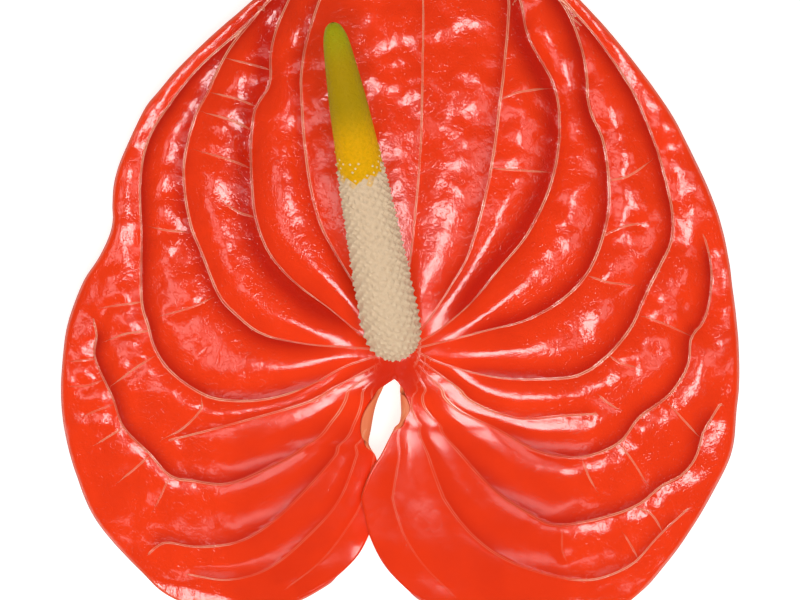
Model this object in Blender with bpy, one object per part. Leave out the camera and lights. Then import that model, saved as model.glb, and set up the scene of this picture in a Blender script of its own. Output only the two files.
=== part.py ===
"""A cut anthurium: a heart-shaped red spathe with sunken veins, a leaning spadix and a long green stem.

The flower lies on its back on a flat surface at Z = 0. The spathe faces up, its tip points along +Y and the
stem runs away along -Y. Lengths are metres. The spathe is laid out flat, in millimetres about the point
where the stem joins it, and is then bent to its real form.
"""

import math

import bmesh
import bpy
import numpy as np
from mathutils import Vector
from mathutils.geometry import delaunay_2d_cdt

MM = 0.001

# The flower's own driving sizes, in millimetres
ATTACH_Y, ATTACH_Z = 176.51, 20.0
BLADE = 0.8
FLOOR_SOFT = 0.7
FLAT_SPOT = 0.1

# Spacing of the flat blade's mesh: between the veins, along them, along the rim, and where the notch rolls
CELL = 3.7
VEIN_STEP = 3.4
RIM_STEP = 1.7
ROLL_CELL = 0.9
ROLL_ROW = 1.25

# Bending of the flat spathe: its sides, its tip and its lobes droop, and it dips where the stem joins it
SIDE_DROOP, SIDE_HALF, SIDE_POWER = 9.0, 66.0, 2.2
TIP_DROOP, TIP_START, TIP_SPAN = 7.0, 28.0, 70.0
LOBE_DROOP, LOBE_POWER, LEFT_REACH, RIGHT_REACH = 19.0, 1.7, 48.5, 52.2
INNER_DROOP, INNER_POWER, INNER_START, INNER_SPAN = 0.60, 1.15, 6.0, 30.0
JOINT_X, JOINT_Y = -0.2, 2.2
DIMPLE, DIMPLE_REACH = 2.4, 9.0

# The notch, from its top down: its middle line, how far each margin closes over it, and how much rolls over
NOTCH_TOP = -4.0
NOTCH_MIDDLE = [-60.0, -40.0, -30.0, -20.0, -10.0, -4.0, 0.0], [-5.0, -5.0, -4.7, -3.3, -2.1, -1.1, -1.1]
RIGHT_CLOSING = [-47, -42, -34, -27, -20, -14, -7, -4], [0.0, 1.5, 3.9, 4.8, 3.2, 2.5, 2.0, 0.0]
LEFT_CLOSING = [-45, -38, -30, -22, -15, -8, -4], [0.0, 1.2, 2.1, 2.3, 1.9, 1.6, 0.0]
CLOSE_REACH = 17.0
ROLL_RADIUS = 0.95
RIGHT_ROLL, RIGHT_ROLL_SPAN = 2.9, (-10.7, -10.1, 4.2)
LEFT_ROLL, LEFT_ROLL_SPAN = 3.6, (-13.0, -10.0, 4.6)

# The right lobe is lifted and the left one lowered where they cross below the notch
LOBE_LIFT, LIFT_REACH, LIFT_SPAN = 1.1, 11.0, (-35.0, -20.0, 8.0)

# Half of the flat outline, right of the tip, from the tip down to the stem's notch
RIGHT_RIM = [
    (5.2, 97.5), (8.0, 92.5), (12.4, 88.3), (20.1, 82.2), (27.7, 75.7), (34.8, 68.4), (40.5, 62.1),
    (46.3, 54.9), (51.6, 47.4), (56.0, 39.2), (60.4, 29.4), (62.9, 20.6), (64.2, 11.1), (65.0, 3.4),
    (65.2, -4.2), (64.8, -10.3), (63.9, -18.2), (60.4, -26.0), (56.0, -33.8), (51.2, -40.5), (47.0, -45.5),
    (42.0, -49.6), (35.0, -53.2), (26.0, -54.8), (16.0, -53.4), (8.5, -50.2), (3.6, -46.3), (1.2, -43.6),
    (-0.6, -40.6), (-1.6, -37.4), (-2.2, -33.0), (-2.6, -28.5), (-2.6, -25.0), (-2.0, -21.5), (-0.7, -18.2),
    (0.9, -14.8), (1.3, -12.4), (0.8, -9.6), (0.4, -7.2), (-0.2, -5.2), (-1.1, -4.0),
]

# The other half, from the stem's notch round the left lobe and up to the tip
LEFT_RIM = [
    (-1.1, -4.0), (-2.3, -4.9), (-3.6, -7.0), (-4.5, -9.8), (-5.3, -13.0), (-7.2, -16.0), (-7.5, -17.6),
    (-6.8, -19.6), (-6.5, -21.6), (-6.4, -24.5), (-6.8, -29.5), (-7.7, -34.4), (-9.7, -38.9), (-13.8, -43.4),
    (-18.6, -46.6), (-25.0, -49.2), (-32.0, -50.0), (-39.5, -48.9), (-46.3, -45.8), (-51.0, -41.0),
    (-55.4, -36.1),
    (-59.5, -30.4), (-62.3, -23.3), (-64.2, -16.3), (-65.2, -8.4), (-64.8, 0.6), (-63.9, 6.3),
    (-62.3, 11.1), (-60.4, 15.3), (-57.7, 19.3), (-55.6, 23.7), (-55.0, 26.6), (-55.1, 29.3),
    (-54.7, 34.0), (-53.0, 39.2), (-49.2, 47.4), (-46.5, 50.9), (-42.3, 55.8), (-35.9, 61.9),
    (-28.5, 68.4), (-19.1, 76.5), (-10.5, 83.0), (-2.9, 88.7), (1.9, 92.9), (5.2, 97.5),
]

# Each vein: groove depth, reach on its inner side, reach on its outer side, and its course from the stem out
VEINS = [
    (0.5, 6.0, 6.0, [(0.4, 2.5), (1.0, 11.1), (2.7, 25.4), (4.0, 41.7), (4.4, 60.8), (4.6, 80.0), (5.2, 94.0)]),
    (1.2, 6.5, 6.5, [(-1.5, 2.5), (-5.4, 8.8), (-12.2, 19.9), (-15.7, 27.1), (-17.9, 38.0), (-18.9, 50.9),
                     (-18.4, 58.0), (-16.4, 65.6), (-12.4, 75.1), (-5.4, 84.7), (1.5, 92.3)]),
    (2.3, 9.0, 6.0, [(-2.3, 1.9), (-7.3, 4.4), (-13.4, 9.4), (-19.9, 14.3), (-24.9, 19.9), (-27.5, 26.4),
                     (-28.3, 33.1), (-28.5, 41.7), (-27.7, 47.8), (-24.9, 52.4), (-24.7, 58.5), (-23.1, 64.6),
                     (-19.1, 72.3), (-10.5, 81.8), (-1.0, 91.0)]),
    (1.6, 6.5, 6.0, [(-3.1, 1.5), (-10.5, 2.1), (-18.2, 2.7), (-26.4, 4.6), (-31.7, 8.6), (-34.8, 12.2),
                     (-37.7, 19.5), (-40.1, 25.4), (-41.3, 32.5), (-41.3, 38.2), (-39.6, 45.5), (-36.9, 50.9),
                     (-32.9, 58.9), (-27.5, 65.8), (-21.0, 73.8), (-11.5, 83.0), (-2.3, 90.2)]),
    (1.5, 6.0, 5.0, [(-3.1, 0.8), (-10.5, -1.5), (-18.2, -5.7), (-26.4, -8.0), (-34.4, -8.0), (-39.0, -6.3),
                     (-44.0, -2.7), (-47.0, 1.5), (-48.4, 6.3), (-49.7, 11.1), (-49.7, 22.6), (-49.9, 34.0),
                     (-48.4, 41.7), (-44.9, 47.8), (-39.0, 55.4), (-30.6, 63.1), (-22.0, 71.5)]),
    (0.9, 5.0, 5.0, [(-3.8, -0.8), (-9.6, -4.0), (-15.7, -7.5), (-23.3, -10.1), (-37.3, -14.0), (-44.0, -15.7)]),
    (1.5, 6.0, 5.0, [(-3.4, -1.5), (-8.6, -5.4), (-13.4, -10.9), (-18.4, -16.4), (-26.4, -21.4), (-33.5, -24.3),
                     (-39.8, -23.7), (-44.4, -22.8), (-48.6, -18.2), (-53.3, -13.4), (-55.3, -7.6),
                     (-57.4, -3.4), (-58.9, 0.8), (-58.3, 3.8), (-58.9, 6.9)]),
    (1.2, 6.0, 6.0, [(-3.1, -2.3), (-7.3, -7.1), (-12.4, -15.7), (-18.0, -23.7), (-24.9, -31.4), (-31.4, -35.6),
                     (-39.2, -36.7), (-45.5, -35.8), (-48.6, -37.9)]),
    (0.8, 5.0, 5.0, [(-4.0, -4.5), (-6.9, -9.9), (-10.2, -17.6), (-13.4, -27.1), (-19.1, -34.8), (-25.8, -40.9),
                     (-33.5, -43.2), (-41.1, -42.1)]),
    (1.2, 6.5, 6.5, [(2.3, 3.1), (5.7, 7.6), (9.9, 14.1), (13.4, 20.6), (17.0, 34.0), (19.1, 48.4),
                     (20.6, 63.7), (20.3, 71.3), (15.7, 81.8), (8.8, 91.0)]),
    (2.3, 9.0, 6.0, [(3.1, 2.7), (7.6, 5.4), (13.8, 10.7), (19.1, 17.2), (23.7, 22.6), (27.1, 28.7),
                     (29.3, 34.4), (30.4, 40.1), (30.6, 47.0), (29.3, 53.1), (26.4, 58.1), (24.3, 62.7),
                     (22.9, 69.4), (18.0, 80.3), (9.9, 90.6)]),
    (1.8, 7.0, 6.0, [(3.4, 1.9), (9.6, 3.4), (17.2, 5.4), (23.9, 7.1), (30.2, 10.5), (35.0, 14.9), (38.0, 20.5),
                     (40.0, 27.9), (40.0, 35.0), (38.8, 42.1), (36.3, 47.8), (35.8, 54.7), (34.0, 62.3),
                     (30.6, 68.8), (22.9, 78.0), (13.0, 88.3)]),
    (1.6, 6.5, 5.0, [(3.4, 1.1), (9.6, -1.5), (19.1, -3.8), (28.7, -4.0), (34.8, -3.1), (40.1, 0.6), (44.4, 5.9),
                     (46.6, 10.7), (49.7, 17.2), (52.2, 22.6), (52.2, 28.7), (50.5, 36.3), (48.8, 41.7),
                     (45.5, 49.7), (40.7, 57.4), (35.9, 63.9), (29.8, 70.7)]),
    (0.9, 5.0, 5.0, [(3.4, 0.0), (8.6, -3.8), (14.9, -8.4), (22.9, -11.5), (30.6, -11.1), (37.5, -10.7)]),
    (1.6, 6.0, 5.0, [(3.1, -0.8), (7.6, -5.7), (13.4, -10.5), (20.1, -14.1), (26.8, -18.0), (34.8, -19.1),
                     (42.1, -16.3), (46.1, -11.3), (51.6, -7.3), (55.4, -1.5), (56.0, 3.8), (58.5, 6.9),
                     (59.8, 11.9), (59.8, 18.4), (58.5, 23.3)]),
    (1.5, 6.5, 5.5, [(2.7, -1.5), (6.1, -8.4), (12.4, -17.6), (19.1, -25.6), (24.9, -29.8), (29.8, -32.3),
                     (37.9, -31.2), (45.9, -28.5), (50.1, -25.0), (54.5, -22.6), (57.2, -19.1), (58.3, -14.9),
                     (61.6, -9.0)]),
    (1.0, 6.0, 5.0, [(2.6, -4.0), (5.2, -11.9), (8.6, -21.4), (13.2, -31.4), (19.1, -37.9), (26.8, -41.5),
                     (36.3, -43.2), (44.4, -40.5), (49.9, -34.8), (55.4, -29.4)]),
]

# The spadix: the four control points of its middle line about the stem's joint, and its radius along the way
SPADIX_LINE = [(-0.5, 2.2, 0.65), (-1.1, 2.6, 14.0), (-5.0, 24.0, 22.5), (-12.5, 62.3, 36.0)]
SPADIX_RADII = [
    (0.0, 2.3), (0.05, 2.5), (0.08, 4.1), (0.11, 5.0), (0.15, 5.4), (0.22, 5.4), (0.38, 5.0), (0.52, 4.5),
    (0.66, 4.05), (0.79, 3.5), (0.90, 2.8), (0.955, 2.3), (0.985, 1.6), (1.0, 0.7),
]
FLORETS_ROUND = 14
FLORET_ROWS = 56
FLORET_RISE = 0.36
FULL_RADIUS = 4.5
SPADIX_TWIST = 1.9
COLOUR_ROW = 34
PIECE_GAP = 0.3

# The stem's centre line about the stem's joint, with heights above the surface
STEM_ROUTE = [
    (-0.1, 2.0, 16.2), (1.2, 0.2, 11.6), (4.6, -6.0, 7.2), (7.8, -16.0, 4.1), (9.8, -30.0, 2.85),
    (11.6, -55.0, 2.75), (14.0, -110.0, 2.75), (13.6, -190.0, 2.8), (9.0, -290.0, 2.85),
    (4.5, -370.0, 2.9), (2.0, -450.5, 2.9),
]
STEM_TOP_RADIUS, STEM_FOOT_RADIUS = 2.6, 2.9
STEM_RINGS, STEM_SIDES = 44, 12
STEM_CROWDING = 1.9


def spline(points, per_span):
    """A smooth open curve through the points, as an array of rows."""
    p = np.array(points, float)
    ends = np.vstack([2 * p[0] - p[1], p, 2 * p[-1] - p[-2]])
    rows = []
    for a, b, c, d in zip(ends, ends[1:], ends[2:], ends[3:]):
        for t in np.arange(per_span) / per_span:
            square, cube = 2 * a - 5 * b + 4 * c - d, 3 * b - a - 3 * c + d
            rows.append(0.5 * (2 * b + (c - a) * t + square * t**2 + cube * t**3))
    rows.append(p[-1])
    return np.array(rows)


def even(points, step):
    """The open line through the points, walked at an even step."""
    gaps = np.linalg.norm(np.diff(points, axis=0), axis=1)
    run = np.concatenate([[0], np.cumsum(gaps)])
    marks = np.linspace(0, run[-1], max(2, round(run[-1] / step) + 1))
    return np.stack([np.interp(marks, run, points[:, k]) for k in range(points.shape[1])], axis=1)


def ease(x):
    """A smooth step from 0 at x = 0 to 1 at x = 1."""
    x = np.clip(x, 0, 1)
    return x * x * (3 - 2 * x)


def hump(y, low, high, soft):
    """1 between low and high, fading to 0 over the soft length outside them."""
    return ease((y - low + soft) / soft) * ease((high + soft - y) / soft)


class Groove:
    """One sunken vein, which answers how deep it presses the blade at any flat point."""

    def __init__(self, depth, inner, outer, course):
        self.depth, self.inner, self.outer = depth, inner, outer
        self.line = even(spline(course, 6), 1.6)
        self.side = np.sign(course[-1][0] - course[0][0]) or 1.0

    def press(self, points):
        """How deep the vein presses each point: most along its line, fading over its reach on either side."""
        depth = np.zeros(len(points))
        best = np.full(len(points), 1e9)
        spans = len(self.line) - 1
        for k, (a, b) in enumerate(zip(self.line, self.line[1:])):
            along = b - a
            offset = points - a
            t = np.clip(offset @ along / (along @ along), 0, 1)
            away = offset - t[:, None] * along
            gap = np.hypot(away[:, 0], away[:, 1])
            cross = (along[0] * offset[:, 1] - along[1] * offset[:, 0]) * self.side
            reach = np.where(cross < 0, self.outer, self.inner)
            share = (k + t) / spans
            fade = ease(share / 0.16) * ease((1 - share) / 0.08 + 0.35)
            value = self.depth * fade * np.clip(1 - gap / reach, 0, 1) ** 2
            nearer = gap < best
            depth = np.where(nearer, value, depth)
            best = np.where(nearer, gap, best)
        return depth


def relief(points, grooves):
    """How far the veins press the blade down at each flat point."""
    total = np.zeros(len(points))
    for groove in grooves:
        total += groove.press(points) ** 3
    return total ** (1 / 3)


def rim_x(rim, y):
    """Where the notch's rim stands at height y, on the lobe that the rim belongs to."""
    inner = np.array([p for p in rim if abs(p[0]) < 14 and p[1] < -3.9], float)
    inner = inner[np.argsort(inner[:, 1])]
    return np.interp(y, inner[:, 1], inner[:, 0])


def bend(flat, grooves):
    """The middle surface of the blade over the flat points, with heights above the lying surface."""
    x, y = flat[:, 0].copy(), flat[:, 1].copy()
    right = x > np.interp(y, *NOTCH_MIDDLE)
    side = np.where(right, 1.0, -1.0)
    rim = np.where(right, rim_x(RIGHT_RIM, y), rim_x(LEFT_RIM, y))
    from_rim = np.clip((x - rim) * side, 0, None)
    low = y < NOTCH_TOP
    near = np.exp(-((from_rim / CLOSE_REACH) ** 2)) * low
    closing = np.where(right, np.interp(y, *RIGHT_CLOSING), np.interp(y, *LEFT_CLOSING))
    roll = np.where(right, RIGHT_ROLL * hump(y, *RIGHT_ROLL_SPAN), LEFT_ROLL * hump(y, *LEFT_ROLL_SPAN)) * low
    wrap = np.clip(roll - from_rim, 0, None)
    half_turn = math.pi * ROLL_RADIUS
    turned = np.clip(wrap, 0, half_turn) / ROLL_RADIUS
    beyond = np.clip(wrap - half_turn, 0, None)
    x = x + side * (wrap - ROLL_RADIUS * np.sin(turned) + beyond)
    x = x - side * closing * near

    outward = np.abs(x - 0.5)
    outer_share = ease((outward - INNER_START) / INNER_SPAN)
    lobe = np.clip(-y, 0, None) / np.where(right, RIGHT_REACH, LEFT_REACH)
    droop = lobe ** (INNER_POWER + (LOBE_POWER - INNER_POWER) * outer_share)
    z = ATTACH_Z - SIDE_DROOP * (outward / SIDE_HALF) ** SIDE_POWER
    z -= TIP_DROOP * (np.clip(y - TIP_START, 0, None) / TIP_SPAN) ** 2
    z -= LOBE_DROOP * droop * (INNER_DROOP + (1 - INNER_DROOP) * outer_share)
    z -= DIMPLE * np.exp(-((np.hypot(x - JOINT_X, y - JOINT_Y) / DIMPLE_REACH) ** 2))
    z += LOBE_LIFT * side * hump(y, *LIFT_SPAN) * np.exp(-((from_rim / LIFT_REACH) ** 2)) * low
    z -= relief(flat, grooves)
    z += ROLL_RADIUS * (1 - np.cos(turned))
    above = z - BLADE / 2
    settled = np.clip(above + FLOOR_SOFT, 0, None) ** 2 / (4 * FLOOR_SOFT)
    z = BLADE / 2 + np.where(above > FLOOR_SOFT, above, settled)
    return np.stack([x, y, z], axis=1)


def inside(rim, points, margin):
    """Which points lie inside the closed outline, further than the margin from it."""
    hits = np.zeros(len(points), bool)
    gap = np.full(len(points), 1e9)
    for p, q in zip(rim, np.roll(rim, -1, axis=0)):
        crosses = (p[1] > points[:, 1]) != (q[1] > points[:, 1])
        at = p[0] + (points[:, 1] - p[1]) * (q[0] - p[0]) / ((q[1] - p[1]) or 1e-9)
        hits ^= crosses & (points[:, 0] < at)
        span = q - p
        t = np.clip(((points - p) @ span) / (span @ span), 0, 1)
        off = points - p - t[:, None] * span
        gap = np.minimum(gap, np.hypot(off[:, 0], off[:, 1]))
    return hits & (gap > margin)


def spathe_rim():
    """The blade's closed outline: an even walk, finer where the notch's margins roll over."""
    right = even(spline(RIGHT_RIM, 5), RIM_STEP)
    left = even(spline(LEFT_RIM, 5), RIM_STEP)
    rim = np.vstack([right[:-1], left[:-1]])
    rolled = (np.abs(rim[:, 0]) < 9) & (rim[:, 1] < -3) & (rim[:, 1] > -19)
    keep = np.ones(len(rim), bool)
    keep[1::2] = rolled[1::2]
    return rim[keep]


def spathe_layout(grooves):
    """The flat blade's triangles: the outline, points along every vein, and an even field between them."""
    rim = spathe_rim()
    chosen = []

    def add(points, margin, spacing):
        """Takes the points that are clear of the outline and of those already taken."""
        for p in points[inside(rim, points, margin)]:
            if all((p[0] - q[0]) ** 2 + (p[1] - q[1]) ** 2 > spacing**2 for q in chosen):
                chosen.append(p)

    for groove in sorted(grooves, key=lambda g: -g.depth):
        add(even(groove.line, VEIN_STEP), 1.1, 1.7)
    rows = enumerate(np.arange(-18.4, NOTCH_TOP, ROLL_ROW))
    starts = [(-8.6 + ROLL_CELL / 2 * (k % 2), y) for k, y in rows]
    rolled = np.array([(x, y) for start, y in starts for x in np.arange(start, 5.2, ROLL_CELL)])
    from_right = np.abs(rolled[:, 0] - rim_x(RIGHT_RIM, rolled[:, 1]))
    from_left = np.abs(rolled[:, 0] - rim_x(LEFT_RIM, rolled[:, 1]))
    add(rolled[np.minimum(from_right, from_left) < 3.9], 0.35, 0.8)
    rows = enumerate(np.arange(-56, 98, CELL * math.sqrt(3) / 2))
    field = np.array([(x + CELL / 2 * (k % 2), y) for k, y in rows for x in np.arange(-68, 68, CELL)])
    add(field, 1.4, 2.3)

    points = [Vector(p) for p in rim] + [Vector(p) for p in chosen]
    edges = [(k, (k + 1) % len(rim)) for k in range(len(rim))]
    out = delaunay_2d_cdt(points, edges, [list(range(len(rim)))], 1, 1e-5)
    flat = np.array([tuple(v) for v in out[0]])
    faces = [tuple(f) for f in out[2]]
    return flat, faces


def vertex_normals(points, faces):
    """Area-weighted normals of a triangle mesh."""
    f = np.array(faces)
    cross = np.cross(points[f[:, 1]] - points[f[:, 0]], points[f[:, 2]] - points[f[:, 0]])
    normals = np.zeros_like(points)
    for k in range(3):
        np.add.at(normals, f[:, k], cross)
    return normals / np.linalg.norm(normals, axis=1)[:, None]


def add_object(name, mesh, material, parent):
    """The mesh as a named, smoothly shaded object under the stem's joint."""
    obj = bpy.data.objects.new(name, mesh)
    bpy.context.scene.collection.objects.link(obj)
    mesh.materials.append(material)
    mesh.shade_smooth()
    obj.parent = parent
    return obj


def mesh_from(name, points, faces):
    """A mesh in metres from millimetre points, with its faces turned outwards."""
    mesh = bpy.data.meshes.new(name)
    mesh.from_pydata([tuple(p) for p in np.asarray(points) * MM], [], [list(map(int, f)) for f in faces])
    work = bmesh.new()
    work.from_mesh(mesh)
    bmesh.ops.recalc_face_normals(work, faces=work.faces)
    work.to_mesh(mesh)
    work.free()
    return mesh


def build_spathe(grooves, material, parent):
    """The heart-shaped blade: one sheet, thickened alike on both faces."""
    flat, faces = spathe_layout(grooves)
    middle = bend(flat, grooves)
    normals = vertex_normals(middle, faces)
    if normals[:, 2].mean() < 0:
        faces = [f[::-1] for f in faces]
        normals = -normals
    top = middle + normals * BLADE / 2
    under = middle - normals * BLADE / 2
    under[under[:, 2] < FLAT_SPOT, 2] = 0
    count = len(flat)
    sides = {(f[k], f[(k + 1) % 3]): True for f in faces for k in range(3)}
    walls = []
    for a, b in sides:
        if (b, a) not in sides:
            walls += [(b, a, a + count), (b, a + count, b + count)]
    shell = [tuple(f) for f in faces] + [tuple(i + count for i in f[::-1]) for f in faces] + walls
    mesh = mesh_from("spathe", np.vstack([top, under]), shell)
    return add_object("spathe", mesh, material, parent)


def spadix_axis(share):
    """A point of the spadix's middle line and its direction there, in millimetres about the stem's joint."""
    lift = np.array([0.0, 0.0, ATTACH_Z - DIMPLE + BLADE / 2])
    a, b, c, d = (np.array(p) + lift for p in SPADIX_LINE)
    t = np.linspace(0, 1, 200)[:, None]
    rest = 1 - t
    line = even(a * rest**3 + 3 * b * t * rest**2 + 3 * c * t**2 * rest + d * t**3, 0.5)
    spot = share * (len(line) - 1)
    k = min(int(spot), len(line) - 2)
    heading = line[k + 1] - line[k]
    return line[k] + heading * (spot - k), heading / np.linalg.norm(heading)


def spadix_ring(row, shift, level):
    """One ring of the spadix: every second point stands up as a floret, unless the ring is level."""
    share = row / FLORET_ROWS
    shares, radii = zip(*SPADIX_RADII)
    radius = float(np.interp(share, shares, radii))
    centre, heading = spadix_axis(share)
    centre = centre + heading * shift
    across = np.cross(heading, (0.0, 0.0, 1.0))
    across /= np.linalg.norm(across)
    up = np.cross(across, heading)
    ring = []
    for k in range(2 * FLORETS_ROUND):
        angle = math.pi * k / FLORETS_ROUND + SPADIX_TWIST * share
        raised = 0.0
        if not level and (k + row) % 2 == 0:
            raised = FLORET_RISE * min(1, radius / FULL_RADIUS)
        ring.append(centre + (across * math.cos(angle) + up * math.sin(angle)) * (radius + raised))
    return ring


def build_spadix(name, first, last, material, parent):
    """A stretch of the spadix as a studded tube: each floret is a low pyramid on the lattice."""
    points, faces = [], []
    around = 2 * FLORETS_ROUND
    rings = last - first
    shifts = {row: 0.0 for row in range(first, last + 1)}
    if last == COLOUR_ROW:
        shifts[last] = -PIECE_GAP / 2
    if first == COLOUR_ROW:
        shifts[first] = PIECE_GAP / 2
    for row, shift in shifts.items():
        points.extend(spadix_ring(row, shift, row in (first, last)))
    for r in range(rings):
        for k in range(around):
            a, b = r * around + k, r * around + (k + 1) % around
            c, d = b + around, a + around
            if (k + first + r) % 2 == 0:
                faces += [(a, b, d), (b, c, d)]
            else:
                faces += [(a, b, c), (a, c, d)]
    for ring, flip in ((0, True), (rings, False)):
        centre, heading = spadix_axis((first + ring) / FLORET_ROWS)
        points.append(centre + heading * shifts[first + ring])
        hub = len(points) - 1
        for k in range(around):
            a, b = ring * around + k, ring * around + (k + 1) % around
            faces.append((hub, b, a) if flip else (hub, a, b))
    mesh = mesh_from(name, points, faces)
    return add_object(name, mesh, material, parent)


def build_stem(material, parent):
    """The long round stem, bent over below the blade and lying along the surface to its straight-cut end."""
    line = even(spline(STEM_ROUTE, 12), 1.0)
    gaps = np.linalg.norm(np.diff(line, axis=0), axis=1)
    run = np.concatenate([[0], np.cumsum(gaps)])
    marks = run[-1] * (np.linspace(0, 1, STEM_RINGS) ** STEM_CROWDING)
    centres = np.stack([np.interp(marks, run, line[:, k]) for k in range(3)], axis=1)
    headings = np.gradient(centres, axis=0)
    points, faces = [], []
    for k, (centre, heading) in enumerate(zip(centres, headings)):
        heading = heading / np.linalg.norm(heading)
        across = np.cross(heading, (0.0, 0.0, 1.0))
        across /= np.linalg.norm(across)
        up = np.cross(across, heading)
        radius = STEM_TOP_RADIUS + (STEM_FOOT_RADIUS - STEM_TOP_RADIUS) * marks[k] / marks[-1]
        centre = centre.copy()
        centre[2] = max(centre[2], radius)
        for s in range(STEM_SIDES):
            angle = 2 * math.pi * s / STEM_SIDES
            points.append(centre + (across * math.cos(angle) + up * math.sin(angle)) * radius)
    for k in range(STEM_RINGS - 1):
        for s in range(STEM_SIDES):
            a, b = k * STEM_SIDES + s, k * STEM_SIDES + (s + 1) % STEM_SIDES
            faces.append((a, b, b + STEM_SIDES, a + STEM_SIDES))
    faces.append(tuple(range(STEM_SIDES))[::-1])
    last = (STEM_RINGS - 1) * STEM_SIDES
    faces.append(tuple(last + s for s in range(STEM_SIDES)))
    mesh = mesh_from("stem", points, faces)
    return add_object("stem", mesh, material, parent)


def make_material(name, colour, roughness):
    """A plain finish of one colour."""
    material = bpy.data.materials.new(name)
    material.use_nodes = True
    shader = material.node_tree.nodes["Principled BSDF"]
    shader.inputs["Base Color"].default_value = (*colour, 1)
    shader.inputs["Roughness"].default_value = roughness
    shader.inputs["Metallic"].default_value = 0
    return material


def main():
    """Builds the whole flower round the stem's joint."""
    for obj in list(bpy.data.objects):
        bpy.data.objects.remove(obj, do_unlink=True)
    joint = bpy.data.objects.new("stem_joint", None)
    joint.location = (0, ATTACH_Y * MM, 0)
    bpy.context.scene.collection.objects.link(joint)

    red = make_material("red_spathe", (0.86, 0.05, 0.015), 0.25)
    cream = make_material("cream_florets", (0.72, 0.53, 0.34), 0.6)
    green = make_material("olive_florets", (0.42, 0.27, 0.01), 0.5)
    stalk = make_material("green_stem", (0.13, 0.26, 0.05), 0.45)

    grooves = [Groove(*vein) for vein in VEINS]
    build_spathe(grooves, red, joint)
    build_spadix("spadix_cream", 0, COLOUR_ROW, cream, joint)
    build_spadix("spadix_green", COLOUR_ROW, FLORET_ROWS, green, joint)
    build_stem(stalk, joint)
    bpy.context.view_layer.update()


main()
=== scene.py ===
"""The looks of a cut anthurium lying on its back: a glossy veined spathe, a studded spadix and a long stem.

Sizes are millimetres about the point where the stem joins the spathe, unless a name says otherwise. The
spathe is laid out flat, then bent to its real form, and every finished mesh is stored in metres in the
frame's place.
"""

import logging
import math
from dataclasses import dataclass, field
from enum import Enum
from typing import Callable

import bmesh
import bpy
import numpy as np
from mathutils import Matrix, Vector, noise


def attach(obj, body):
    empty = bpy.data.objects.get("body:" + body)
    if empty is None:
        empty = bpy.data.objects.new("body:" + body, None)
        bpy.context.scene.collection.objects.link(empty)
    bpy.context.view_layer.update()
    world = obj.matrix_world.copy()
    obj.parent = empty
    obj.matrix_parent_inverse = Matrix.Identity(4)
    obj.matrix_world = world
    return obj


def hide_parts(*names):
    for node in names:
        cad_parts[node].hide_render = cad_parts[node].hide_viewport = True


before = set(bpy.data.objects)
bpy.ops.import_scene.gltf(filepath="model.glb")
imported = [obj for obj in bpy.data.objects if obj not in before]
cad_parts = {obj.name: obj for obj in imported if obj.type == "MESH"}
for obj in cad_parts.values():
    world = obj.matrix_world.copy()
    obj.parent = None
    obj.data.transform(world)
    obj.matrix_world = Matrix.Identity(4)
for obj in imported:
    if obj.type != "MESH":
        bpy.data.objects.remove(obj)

MM = 0.001

# The joint's place along the frame's Y and over the floor, the blade's thickness, and its hollow at the joint
JOINT_Y, JOINT_Z = 176.51, 20.0
BLADE = 0.8
DIMPLE = 2.4

# Metres within which two vertices are one, and shares of a length that count as the same
TOUCHING, SAME_SHARE = 1e-6, 1e-4

# Steps in which each span of a vein's course, or of a table of radii, is drawn
SPAN_STEPS = 6

log = logging.getLogger("anthurium")


class Slot(Enum):
    """The record's material slots."""

    RED = "spathe_red"
    CREAM = "spadix_cream"
    GREEN = "stem_green"


def spline(points: list, per_span: int) -> np.ndarray:
    """Draws a smooth open curve through the points.

    Args:
        points: the points that the curve passes through, as rows.
        per_span: how many steps each span is walked in.

    Returns:
        The curve's points as rows.
    """
    p = np.array(points, float)
    ends = np.vstack([2 * p[0] - p[1], p, 2 * p[-1] - p[-2]])
    t = (np.arange(per_span) / per_span)[:, None]
    rows = [
        0.5 * (2 * b + (c - a) * t + (2 * a - 5 * b + 4 * c - d) * t**2 + (3 * b - a - 3 * c + d) * t**3)
        for a, b, c, d in zip(ends, ends[1:], ends[2:], ends[3:])
    ]
    return np.vstack([*rows, p[-1:]])


def length_along(points: np.ndarray) -> np.ndarray:
    """Measures how far along the open line each of its points is."""
    return np.concatenate([[0], np.cumsum(np.linalg.norm(np.diff(points, axis=0), axis=1))])


def even(points: np.ndarray, step: float) -> np.ndarray:
    """Walks the open line at an even step.

    Args:
        points: the line's points as rows.
        step: the wanted distance between the new points.

    Returns:
        The new points as rows, both ends among them.
    """
    run = length_along(points)
    marks = np.linspace(0, run[-1], max(2, round(run[-1] / step) + 1))
    return walk(points, run, marks)


def walk(line: np.ndarray, run: np.ndarray, marks: np.ndarray) -> np.ndarray:
    """Finds the line's points at the marks, which are lengths from its start, as run is at its own points."""
    return np.stack([np.interp(marks, run, line[:, k]) for k in range(line.shape[1])], axis=1)


def square_to(
    line: np.ndarray, run: np.ndarray, marks: np.ndarray, look: float,
) -> tuple[np.ndarray, np.ndarray]:
    """Finds the two directions that are square to a line at the marks.

    Args:
        line: the line's points as rows.
        run: the length along the line at each of its points.
        marks: lengths from the line's start.
        look: how far ahead and behind the line is looked at for its heading.

    Returns:
        The level direction across the line, and the one that is square to both.
    """
    heading = walk(line, run, marks + look) - walk(line, run, marks - look)
    heading /= np.linalg.norm(heading, axis=1)[:, None]
    across = np.cross(heading, (0.0, 0.0, 1.0))
    across /= np.linalg.norm(across, axis=1)[:, None]
    return across, np.cross(across, heading)


def spoke(across: np.ndarray, up: np.ndarray, angle: np.ndarray) -> np.ndarray:
    """Turns from the direction across towards the one up by the angle."""
    return across * np.cos(angle)[:, None] + up * np.sin(angle)[:, None]


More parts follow.
